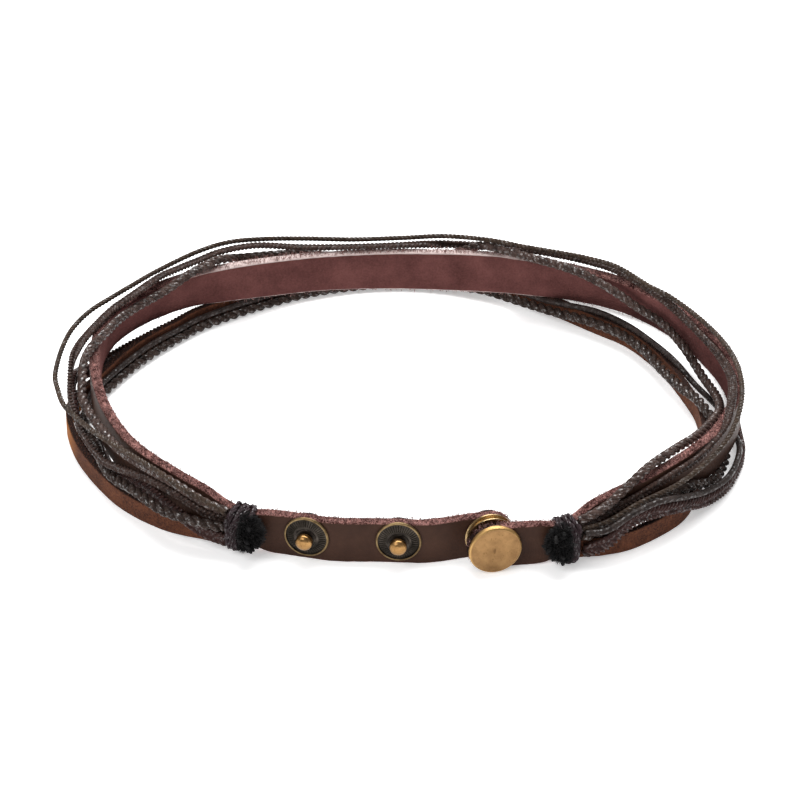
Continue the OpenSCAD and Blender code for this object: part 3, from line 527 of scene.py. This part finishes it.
def suede():
    """Split suede, dyed rust brown: a soft nap with darker cut edges, and painted light on the far left
    bend, coloured warmer where light comes through."""
    m, t, p = start_material("rust split suede", 0.95)
    where = put(t, "ShaderNodeTexCoord").outputs["Object"]
    zone = put(t, "ShaderNodeAttribute", {"attribute_name": "zone"}).outputs["Fac"]
    painted_through_light = put(t, "ShaderNodeAttribute", {"attribute_name": "painted_through_light"}).outputs["Fac"]
    cloud = put(t, "ShaderNodeTexNoise", ins={"Vector": where, "Scale": 260.0, "Detail": 4.0,
        "Roughness": 0.6}).outputs[0]
    nap = put(t, "ShaderNodeTexNoise", ins={"Vector": where, "Scale": 2600.0, "Detail": 3.0,
        "Roughness": 0.8}).outputs[0]
    half = put(t, "ShaderNodeMath", {"operation": "MULTIPLY"}, {0: cloud, 1: 0.3})
    both = put(t, "ShaderNodeMath", {"operation": "MULTIPLY_ADD"}, {0: nap, 1: 0.7, 2: half.outputs[0]})
    face = put(t, "ShaderNodeValToRGB", {"ramp": ((0.35, "#2d1813"), (0.68, "#74462f"))},
        {0: both.outputs[0]})
    # painted light: the colour is mixed towards warm orange where light comes through the far left bend
    hot = put(t, "ShaderNodeMix", {"data_type": "RGBA"},
        {0: painted_through_light, 6: face.outputs[0], 7: hex_colour("#935c2f")})
    level = put(t, "ShaderNodeMath", {"operation": "ABSOLUTE"}, {0: zone})
    flat = put(t, "ShaderNodeMapRange", ins={"Value": level.outputs[0], 1: 0.1, 2: 0.7})
    mix = put(t, "ShaderNodeMix", {"data_type": "RGBA"},
        {0: flat.outputs[0], 6: hex_colour("#2a1c18"), 7: hot.outputs[2]})
    t.links.new(mix.outputs[2], p.inputs["Base Color"])
    bump = put(t, "ShaderNodeBump", ins={"Height": nap, "Distance": 0.00015, "Strength": 0.9})
    t.links.new(bump.outputs[0], p.inputs["Normal"])
    return m


def cord_material(name, dark, light, roughness, fibre=0.35, shine=0.6):
    """Waxed cotton cord: fine fibres along each strand, lighter where the wax is rubbed."""
    m, t, p = start_material(name, roughness)
    where = put(t, "ShaderNodeTexCoord").outputs["Object"]
    run = put(t, "ShaderNodeAttribute", {"attribute_name": "run"}).outputs["Fac"]
    round_ = put(t, "ShaderNodeAttribute", {"attribute_name": "round"}).outputs["Fac"]
    tint = put(t, "ShaderNodeAttribute", {"attribute_name": "tint"}).outputs["Fac"]
    # fibres are 0.06 mm in life; they are drawn about 0.2 mm apart so that they show
    along = put(t, "ShaderNodeMath", {"operation": "MULTIPLY"}, {0: run, 1: 900.0})
    across = put(t, "ShaderNodeMath", {"operation": "MULTIPLY"}, {0: round_, 1: 9.0})
    at = put(t, "ShaderNodeCombineXYZ", ins={0: along.outputs[0], 1: across.outputs[0]})
    hairs = put(t, "ShaderNodeTexNoise", ins={"Vector": at.outputs[0], "Scale": 1.0, "Detail": 3.0,
        "Roughness": 0.7}).outputs[0]
    wear = put(t, "ShaderNodeTexNoise", ins={"Vector": where, "Scale": 420.0, "Detail": 4.0,
        "Roughness": 0.7}).outputs[0]
    mix = put(t, "ShaderNodeMath", {"operation": "MULTIPLY_ADD"}, {0: hairs, 1: fibre * 2, 2: wear})
    more = put(t, "ShaderNodeMath", {"operation": "MULTIPLY_ADD"}, {0: tint, 1: 0.3, 2: mix.outputs[0]})
    ramp = put(t, "ShaderNodeValToRGB", {"ramp": ((0.35 + fibre * 0.6, dark), (0.75 + fibre, light))},
        {0: more.outputs[0]})
    t.links.new(ramp.outputs[0], p.inputs["Base Color"])
    bump = put(t, "ShaderNodeBump", ins={"Height": hairs, "Distance": 0.00008, "Strength": 0.7})
    t.links.new(bump.outputs[0], p.inputs["Normal"])
    # wax stands on the high fibres only, so the shine comes in small spots
    spots = put(t, "ShaderNodeTexNoise", ins={"Vector": where, "Scale": 1900.0, "Detail": 1.0,
        "Roughness": 0.5}).outputs[0]
    wax = put(t, "ShaderNodeMapRange", ins={"Value": spots, 1: 0.52, 2: 0.64, 3: 0.08, 4: shine})
    t.links.new(wax.outputs[0], p.inputs["Specular IOR Level"])
    soft = put(t, "ShaderNodeMapRange", ins={"Value": spots, 1: 0.52, 2: 0.64, 3: 0.55, 4: roughness})
    t.links.new(soft.outputs[0], p.inputs["Roughness"])
    return m


def fuzz_material():
    """Cut cotton ends, dyed black: dull, with a few dusty grey fibres."""
    m, t, p = start_material("cut cotton ends, black", 0.75)
    tint = put(t, "ShaderNodeAttribute", {"attribute_name": "tint"}).outputs["Fac"]
    ramp = put(t, "ShaderNodeValToRGB", {"ramp": ((0.0, "#0b0a0b"), (1.0, "#2a2828"))}, {0: tint})
    t.links.new(ramp.outputs[0], p.inputs["Base Color"])
    return m


def radius_from(t, middle, axis):
    """Distance from a line through middle along axis, in metres, and the place itself."""
    where = put(t, "ShaderNodeTexCoord").outputs["Object"]
    off = put(t, "ShaderNodeVectorMath", {"operation": "SUBTRACT"}, {0: where, 1: tuple(middle)})
    out = put(t, "ShaderNodeVectorMath", {"operation": "CROSS_PRODUCT"}, {0: off.outputs[0], 1: tuple(axis)})
    size = put(t, "ShaderNodeVectorMath", {"operation": "LENGTH"}, {0: out.outputs[0]})
    return size.outputs["Value"], where


def antique_brass(name, dark, light, roughness, middle, axis, rim_at=None):
    """Antiqued brass plate: tumbled to a satin, mottled brown, a lighter brass band at the rim where rim_at
    is given, with tiny dark specks."""
    m, t, p = start_material(name, roughness, 1.0)
    far, where = radius_from(t, middle, axis)
    cloud = put(t, "ShaderNodeTexNoise", ins={"Vector": where, "Scale": 330.0, "Detail": 5.0,
        "Roughness": 0.65}).outputs[0]
    speck = put(t, "ShaderNodeTexNoise", ins={"Vector": where, "Scale": 3000.0, "Detail": 2.0,
        "Roughness": 0.5}).outputs[0]
    ramp = put(t, "ShaderNodeValToRGB", {"ramp": ((0.35, dark), (0.7, light))}, {0: cloud})
    dots = put(t, "ShaderNodeMapRange", ins={"Value": speck, 1: 0.66, 2: 0.72})
    one = put(t, "ShaderNodeMix", {"data_type": "RGBA"},
        {0: dots.outputs[0], 6: ramp.outputs[0], 7: hex_colour("#5e4424")})
    last = one.outputs[2]
    if rim_at:
        rim = put(t, "ShaderNodeMapRange", ins={"Value": far, 1: rim_at[0], 2: rim_at[1]})
        two = put(t, "ShaderNodeMix", {"data_type": "RGBA"},
            {0: rim.outputs[0], 6: last, 7: hex_colour("#b8935e")})
        last = two.outputs[2]
    t.links.new(last, p.inputs["Base Color"])
    wave = put(t, "ShaderNodeMath", {"operation": "MULTIPLY_ADD"}, {0: cloud, 1: 0.22, 2: roughness - 0.1})
    t.links.new(wave.outputs[0], p.inputs["Roughness"])
    bump = put(t, "ShaderNodeBump", ins={"Height": cloud, "Distance": 0.00003, "Strength": 0.5})
    t.links.new(bump.outputs[0], p.inputs["Normal"])
    return m


def black_dish(name, middle, axis):
    """Blackened brass: a dark patina in the dish, rubbed back to brass on the thin outer rim."""
    m, t, p = start_material(name, 0.45, 1.0)
    far, where = radius_from(t, middle, axis)
    cloud = put(t, "ShaderNodeTexNoise", ins={"Vector": where, "Scale": 700.0, "Detail": 4.0,
        "Roughness": 0.6}).outputs[0]
    rim = put(t, "ShaderNodeMapRange", ins={"Value": far, 1: 0.00384, 2: 0.00392})
    worn = put(t, "ShaderNodeValToRGB", {"ramp": ((0.35, "#2a2622"), (0.8, "#57504a"))}, {0: cloud})
    brass = put(t, "ShaderNodeValToRGB", {"ramp": ((0.3, "#54422c"), (0.75, "#96805c"))}, {0: cloud})
    mix = put(t, "ShaderNodeMix", {"data_type": "RGBA"},
        {0: rim.outputs[0], 6: worn.outputs[0], 7: brass.outputs[0]})
    t.links.new(mix.outputs[2], p.inputs["Base Color"])
    return m


def patina(name, dark, light, roughness):
    """Blackened metal: a dark oxide, a little lighter where it is rubbed."""
    m, t, p = start_material(name, roughness, 1.0)
    where = put(t, "ShaderNodeTexCoord").outputs["Object"]
    cloud = put(t, "ShaderNodeTexNoise", ins={"Vector": where, "Scale": 500.0, "Detail": 4.0,
        "Roughness": 0.6}).outputs[0]
    ramp = put(t, "ShaderNodeValToRGB", {"ramp": ((0.35, dark), (0.75, light))}, {0: cloud})
    t.links.new(ramp.outputs[0], p.inputs["Base Color"])
    return m


# Cords, each along its own route
wire = strands_tree("twisted strands", "Z_UP")
coil = strands_tree("wound strands", "MINIMUM_TWIST")
pills = scatter_tree("braid stitches", "pill")
hairs = scatter_tree("loose fibres", "hair")
ribs = scatter_tree("dish ribs", "rib")


def cord_line(rows, half, step=0.35):
    line = placed(rows, half)
    u, run = even_steps(line, step)
    p = spot(line, u)
    p[:, 2] = np.maximum(p[:, 2], half + CORD_GAP)
    return line, u, run, p


def cord_path(rows, half):
    line = placed(rows, half)
    p = spot(line, np.linspace(0, len(rows) - 1, 80))
    p[:, 2] = np.maximum(p[:, 2], half + CORD_GAP)
    return p[:, :3] * MM


def declare(piece, node, rows, half):
    path = cord_path(rows, half)
    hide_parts(node)
    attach(piece, "root")


def twisted(name, node, rows, d, strands, pitch, material, sides=8):
    """Strands of a twisted cord of outer diameter d."""
    line, u, run, p = cord_line(rows, d / 2)
    if strands == 1:
        lay, r = 0.0, d / 2
    else:
        r = d / 2 / (1 + 1 / math.sin(math.pi / strands)) * (1.15 if strands > 2 else 1.12)
        lay = d / 2 - r
    ob = grown(name, line_source(p[:, :3], run), wire,
        {"Strands": strands, "Lay radius": lay * MM, "Strand radius": r * MM, "Pitch": pitch * MM,
        "Sides": sides}, material)
    declare(ob, node, rows, d / 2)


def braided(name, node, rows, w, t, pitch, stitch, slant, material, seed):
    """A flat braid: two rows of slanting stitches over a thin core."""
    line, u, run, p = cord_line(rows, w / 2, pitch / 2)
    o = outward(line, u)
    f = ahead(line, u)
    roll = np.radians(np.clip(p[:, 3], 0, 90))[:, None]
    side = o * np.cos(roll) - UP * np.sin(roll)
    up = UP * np.cos(roll) + o * np.sin(roll)
    rng = np.random.default_rng(seed)
    points, axes, sizes, tint = [], [], [], []
    for i in range(1, len(u) - 1):
        row = 1 if i % 2 else -1
        a = math.radians(slant) * row
        long_way = f[i] * math.cos(a) - up[i] * math.sin(a)
        wide_way = np.cross(side[i], long_way)
        points.append(p[i, :3] + up[i] * row * w * 0.235)
        axes.append((long_way, wide_way, side[i]))
        k = 1 + rng.uniform(-0.06, 0.06)
        sizes.append((stitch[0] * k, stitch[1] * k, t))
        tint.append(rng.uniform())
    stitches = grown(name, point_source(points, axes, sizes, tint), pills,
        {"Long parts": 10, "Round parts": 8}, material)
    c = strip_outline(t * 0.55, w * 0.72, t * 0.2, 3, 0)
    mid = p[:, :3]
    core = strip_mesh(name + "_core", mid, side, up, run, c, np.ones(len(u)), 0, seed)
    core.data.materials.append(material)
    ob = joined(name, stitches, core)
    declare(ob, node, rows, w / 2)


twisted("rope_cord_strands", "rope_cord", ROPE_ROWS, 1.9, 3, 5.2,
    cord_material("three-strand cotton rope, grey brown", "#150f0e", "#493a35", 0.25, 0.4,
    1.2), 10)
twisted("thin_cord_strands", "thin_cord", THIN_ROWS, 1.1, 3, 2.7,
    cord_material("three-strand cotton cord, olive brown", "#15110e", "#43362d", 0.22, 0.4))
twisted("beaded_cord_strands", "beaded_cord", BEADED_ROWS, 2.1, 2, 4.2,
    cord_material("waxed two-strand cord, brown black", "#120c0b", "#3c302b", 0.2, 0.35,
    1.0), 12)
twisted("smooth_cord_tube", "smooth_cord", SMOOTH_ROWS, 1.2, 1, 3.0,
    cord_material("waxed round cord, grey", "#171211", "#3d3431", 0.2, 0.3), 12)
braided("flat_braid_stitches", "flat_braid", BRAID_ROWS, 3.4, 1.2, 0.96, (2.2, 0.78), 40,
    cord_material("waxed flat braid, brown black", "#110b0a", "#3c2825", 0.22, 0.35), 3)
braided("ribbon_cord_stitches", "ribbon_cord", RIBBON_ROWS, 2.0, 1.0, 0.86, (1.35, 0.62), 34,
    cord_material("waxed narrow braid, brown", "#130d0c", "#3e2f2a", 0.22, 0.35), 4)

# Main strap
LAST = len(MAIN_ROWS) - 1


def end_share(u):
    """The tab ends are half round."""
    tip = np.where(u[:, None] < LAST / 2, MAIN[0, :2], MAIN[-1, :2])
    e = np.clip(np.linalg.norm(spot(MAIN, u)[:, :2] - tip, axis=1) / (STRAP_W / 2), 0, 1)
    return np.maximum(np.sqrt(1 - (1 - e) ** 2), 0.2)


u, run = even_steps(MAIN, 0.45)
u = np.unique(np.concatenate([u, [0.01, 0.03, 0.06, LAST - 0.02, LAST - 0.05, LAST - 0.1]]))
mid, side, up, share = strap_frame(u)
run = np.concatenate([[0], np.cumsum(np.linalg.norm(np.diff(mid, axis=0), axis=1))])
# painted highlight: the cut edge is coloured nearly white along the back, where it faces the light
painted_highlight_and_dark_end = np.clip(np.minimum((u - 25.5) / 1.5, (33.5 - u) / 1.5), 0, 1) * 0.9
# and darker on the tab's end next to the snap's cap
painted_highlight_and_dark_end -= np.clip((u - 53.4) / 0.4, 0, 1)
strap = strip_mesh("main_strap_leather", mid, side, up, run, strip_outline(STRAP_T, STRAP_W, 0.3, 8, 0.08),
    share * end_share(u), 0.09, 11, {"painted_highlight_and_dark_end": painted_highlight_and_dark_end})
strap_leather = main_leather()
strap.data.materials.append(strap_leather)
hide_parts("main_strap")
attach(strap, "root")

# Narrow strip
nu, nrun = even_steps(NARROW, 0.45)
n_at = spot(NARROW, nu)
nside = outward(NARROW, nu)
nmid = np.stack([n_at[:, 0], n_at[:, 1], np.maximum(n_at[:, 2], 0) + NARROW_W / 2], 1)
nup = np.tile(UP, (len(nu), 1))
# painted light: the far left bend is coloured warmer, for light coming through the suede
painted_through_light = np.clip((-62.0 - n_at[:, 0]) / 2.5, 0, 1) * np.clip((6 - n_at[:, 1]) / 3, 0, 1)
strip = strip_mesh("narrow_strap_suede", nmid, nside, nup, nrun,
    strip_outline(NARROW_T, NARROW_W, 0.2, 6, 0.04),
    np.ones(len(nu)), 0.05, 12, {"painted_through_light": painted_through_light})
strip_suede = suede()
strip.data.materials.append(strip_suede)
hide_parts("narrow_strap")
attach(strip, "root")


def edge_fibres(name, mid, side, up, half_w, t, count, seed, material, length):
    """Short loose fibres that stand up from both cut edges."""
    rng = np.random.default_rng(seed)
    points, axes, sizes, tint = [], [], [], []
    for k in range(count):
        i = rng.integers(1, len(mid) - 1)
        top = 1 if rng.uniform() < 0.75 else -1
        at = rng.uniform(-0.48, 0.48) * t
        h = half_w[i]
        if top < 0 and mid[i][2] - h < 1.0:
            continue
        way = up[i] * top + side[i] * rng.normal(0, 0.5) + np.cross(side[i], up[i]) * rng.normal(0, 0.7)
        way /= np.linalg.norm(way)
        other = np.cross(way, side[i])
        other /= np.linalg.norm(other)
        l = length * rng.uniform(0.4, 1.2)
        points.append(mid[i] + side[i] * at + up[i] * top * (h - 0.02) + way * l * 0.3)
        axes.append((other, np.cross(way, other), way))
        sizes.append((0.11, 0.11, l))
        tint.append(rng.uniform())
    ob = grown(name, point_source(points, axes, sizes, tint), hairs, {"Long parts": 3, "Round parts": 3},
        material)
    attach(ob, "root")


def fibre_material(name, dark, light):
    """Loose leather fibres: the raw fibre colour, dull."""
    m, t, p = start_material(name, 0.9)
    tint = put(t, "ShaderNodeAttribute", {"attribute_name": "tint"}).outputs["Fac"]
    ramp = put(t, "ShaderNodeValToRGB", {"ramp": ((0.0, dark), (1.0, light))}, {0: tint})
    t.links.new(ramp.outputs[0], p.inputs["Base Color"])
    return m


edge_fibres("main_strap_fibres", mid, side, up, share * end_share(u) * STRAP_W / 2, STRAP_T, 10000, 21,
    fibre_material("raw hide fibres", "#5d3a36", "#a9847f"), 0.6)
edge_fibres("narrow_strap_fibres", nmid, nside, nup, np.full(len(nu), NARROW_W / 2), NARROW_T, 3500, 22,
    fibre_material("rust suede fibres", "#3a231c", "#7d5142"), 0.3)


# Lashings: waxed thread wound over the bundle, on a dark core
thread = cord_material("waxed linen thread, black brown", "#0f0b0b", "#33272a", 0.22, 0.4)


def block(a, b, v):
    c, s = math.cos(v), math.sin(v)
    return math.copysign(abs(c) ** 0.5, c) * a, math.copysign(abs(s) ** 0.5, s) * b


# Turns of thread in a lashing, points in a turn, and how far the first or last turn leans over the tab
TURNS, TURN_STEPS, THREAD_LEAN = 4, 70, 2.4


def lashing(name, node, span, seed, way):
    """Turns of thread that lean to the tab side (way) over the top, round a dark core."""
    rng = np.random.default_rng(seed)
    n = TURN_STEPS * TURNS
    points = []
    wander = rng.uniform(-0.2, 0.2, TURNS + 2)
    for i in range(n + 1):
        f = i / n
        uu = span[0] + (span[1] - span[0]) * (0.14 + 0.74 * f)
        mid, _, _, _ = strap_frame(uu)
        o = outward(MAIN, uu)[0]
        fwd = ahead(MAIN, uu)[0]
        v = 2 * math.pi * TURNS * f + 0.5
        grow = 0.1 * math.sin(2 * math.pi * f * 2.3 + seed)
        x, y = block(LASH_A - 0.4 + grow, LASH_B - 0.4 + grow * 0.5, v)
        tab = 1 - f if way < 0 else f
        lean = way * THREAD_LEAN * tab * max(0, math.sin(v)) ** 1.5 + wander[int(f * TURNS)] * math.sin(v)
        points.append(mid[0] + o * (LASH_OFF + x) + UP * y + fwd * lean)
    points = np.array(points)
    r = np.concatenate([[0], np.cumsum(np.linalg.norm(np.diff(points, axis=0), axis=1))])
    wound = grown(name, line_source(points, r), coil,
        {"Strands": 3, "Lay radius": 0.24 * MM, "Strand radius": 0.28 * MM, "Pitch": 4.5 * MM,
        "Sides": 8}, thread)
    rings = []
    for f in np.linspace(0, 1, 9):
        uu = span[0] + (span[1] - span[0]) * f
        mid, _, _, _ = strap_frame(uu)
        o = outward(MAIN, uu)[0]
        k = 0.55 + 0.25 * (1 - abs(2 * f - 1) ** 4)
        ring = []
        for v in np.linspace(0, 2 * math.pi, 40, endpoint=False):
            x, y = block(LASH_A - 1.35 + k, LASH_B - 1.35 + k, v)
            ring.append(mid[0] + o * (LASH_OFF + x) + UP * y)
        rings.append(ring)
    core = mesh_piece(name + "_core", np.concatenate(rings), skin_faces(9, 40))
    core.data.materials.append(thread)
    ob = joined(name, wound, core)
    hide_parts(node)
    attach(ob, "root")


lashing("left_lashing_thread", "left_lashing", LEFT_SPAN, 1, -1)
lashing("right_lashing_thread", "right_lashing", RIGHT_SPAN, 2, 1)

# Trimmed ends: a dome of matted yarn with stubs and a fuzz of cut fibres
fuzz = fuzz_material()


def cut_ends(name, node, u_at, lift, way, seed):
    """A dome of matted yarn, with cut stubs, coarse strands lying over it and loose fibres."""
    rng = np.random.default_rng(seed)
    mid, _, _, _ = strap_frame(u_at)
    o = outward(MAIN, u_at)[0]
    fwd = ahead(MAIN, u_at)[0] * way
    base = mid[0] + UP * lift + o * (STRAP_T / 2 + TUFT_A + 0.15) + fwd * 0.05

    def on_dome(k, a, grow=1.0):
        c = math.cos(k) * grow
        out = fwd * TUFT_H * math.sin(k) * grow
        return base + out + o * TUFT_A * c * math.cos(a) + UP * TUFT_B * c * math.sin(a)

    rings = []
    for v in np.linspace(0, 86, 12):
        rings.append([on_dome(math.radians(v), a, 0.95 + rng.uniform(-0.05, 0.04))
            for a in np.linspace(0, 2 * math.pi, 36, endpoint=False)])
    dome = mesh_piece(name + "_dome", np.concatenate(rings), skin_faces(12, 36))
    dome.data.materials.append(fuzz)

    def growth(count, kind, wide, low, high, lie, shade):
        points, axes, sizes, tint = [], [], [], []
        for i in range(count):
            k = math.asin(rng.uniform(0, 1))
            a = rng.uniform(0, 2 * math.pi)
            at = on_dome(k, a)
            out = (fwd * math.sin(k) / TUFT_H + o * math.cos(k) * math.cos(a) / TUFT_A
                + UP * math.cos(k) * math.sin(a) / TUFT_B)
            out /= np.linalg.norm(out)
            d = out * (1 - lie) + rng.normal(0, 1, 3) * (0.35 + lie) + fwd * 0.2
            if lie > 0.5:
                d = d - out * d.dot(out) * 0.9
            d /= np.linalg.norm(d)
            e = np.cross(d, out + rng.normal(0, 0.1, 3))
            e /= np.linalg.norm(e)
            l = rng.uniform(low, high)
            points.append(at + d * l * 0.3 * (1 - lie) - out * wide * 0.2)
            axes.append((e, np.cross(d, e), d))
            sizes.append((wide, wide, l))
            tint.append(rng.uniform() ** shade)
        thick = wide > 0.2
        return grown(name + "_" + kind, point_source(points, axes, sizes, tint), pills if thick else hairs,
            {"Long parts": 6 if thick else 3, "Round parts": 5 if thick else 3}, fuzz)

    ob = joined(name, growth(2600, "fibres", 0.1, 0.4, 1.1, 0, 2), dome,
        growth(150, "yarn", 0.38, 1.0, 2.4, 0.9, 1.5),
        growth(16, "stubs", 0.95, 1.6, 2.6, 0.15, 3))
    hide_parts(node)
    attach(ob, "root")


cut_ends("left_cut_ends_fuzz", "left_cut_ends", LEFT_SPAN[0], 0.8, -1, 31)
cut_ends("right_cut_ends_fuzz", "right_cut_ends", RIGHT_SPAN[1], 1, 1, 32)

# Fasteners: the source's own solids, with their metals. The open dishes have ribs: their number,
# distance from the middle, height above the strap's middle, fall to the rim and size
RIB_COUNT, RIB_AT, RIB_UP, RIB_FALL, RIB_SIZE = 44, 3.02, STRAP_T / 2 + 0.47, 0.25, (1.3, 0.17, 0.2)
black_rib = patina("blackened brass ribs", "#15130f", "#3b352e", 0.4)
for i, row in enumerate(STUD_ROWS):
    mid, _, _, _ = strap_frame(row)
    axis = outward(MAIN, row)[0]
    at = np.array([mid[0][0], mid[0][1], FAST_Z])
    for key, m in ((f"dish_{i + 1}", black_dish(f"blackened dish {i + 1}, brass rim", at * MM, axis)),
            (f"back_cap_{i + 1}", patina(f"blackened steel cap {i + 1}", "#131212", "#2c2a29", 0.42)),
            (f"stud_{i + 1}", antique_brass(f"antique brass stud {i + 1}", "#80603a", "#b98f5c", 0.3,
            at * MM, axis))):
        nodes[key].data.materials.clear()
        nodes[key].data.materials.append(m)
    if i < 2:
        points, axes, sizes, tint = [], [], [], []
        across = np.cross(axis, UP)
        for k in range(RIB_COUNT):
            a = 2 * math.pi * k / RIB_COUNT
            d = UP * math.cos(a) + across * math.sin(a)
            slope = d - axis * RIB_FALL
            slope /= np.linalg.norm(slope)
            points.append(at + d * RIB_AT + axis * RIB_UP)
            axes.append((slope, np.cross(axis, d), np.cross(slope, np.cross(axis, d))))
            sizes.append(RIB_SIZE)
            tint.append(0)
        rib = grown(f"dish_{i + 1}_ribs", point_source(points, axes, sizes, tint), ribs,
            {"Long parts": 4, "Round parts": 4}, black_rib)
        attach(rib, "root")
cap_axis = outward(MAIN, 1)[0]
cap_mid = np.array([*strap_frame(1)[0][0][:2], FAST_Z])
for key, m in (("snap_socket", antique_brass("antique brass drum", "#86704e", "#c2a77c", 0.26, cap_mid * MM,
        cap_axis)),
        ("snap_cap", antique_brass("antique brass cap", "#7a5c3c", "#9c7a52", 0.42, cap_mid * MM,
        cap_axis, (0.0046, 0.00485)))):
    nodes[key].data.materials.clear()
    nodes[key].data.materials.append(m)

# Floor and light
floor = mesh_piece("floor", [(-3000, -3000, 0), (3000, -3000, 0), (3000, 3000, 0), (-3000, 3000, 0)],
    [(0, 1, 2, 3)], smooth=False)
paper, t, p = start_material("white paper sweep", 0.9)
p.inputs["Base Color"].default_value = hex_colour("#f8f8f8")
p.inputs["Emission Color"].default_value = (1, 1, 1, 1)
p.inputs["Emission Strength"].default_value = 0.4
floor.data.materials.append(paper)
world = bpy.data.worlds.new("studio")
world.use_nodes = True
world.node_tree.nodes["Background"].inputs[0].default_value = (1, 1, 1, 1)
world.node_tree.nodes["Background"].inputs[1].default_value = 0.3
scene.world = world
for name, place, size, watts, turn in (("top_back", (0.1, 0.5, 0.9), 1.0, 20.0, (-0.5, 0.1, 0)),
        ("front_left", (-0.6, -0.7, 0.9), 0.8, 8.0, (0.75, 0, -0.7))):
    light = bpy.data.objects.new(name, bpy.data.lights.new(name, "AREA"))
    light.data.size = size
    light.data.energy = watts
    light.location = place
    light.rotation_euler = turn
    scene.collection.objects.link(light)
scene.view_settings.view_transform = "Standard"
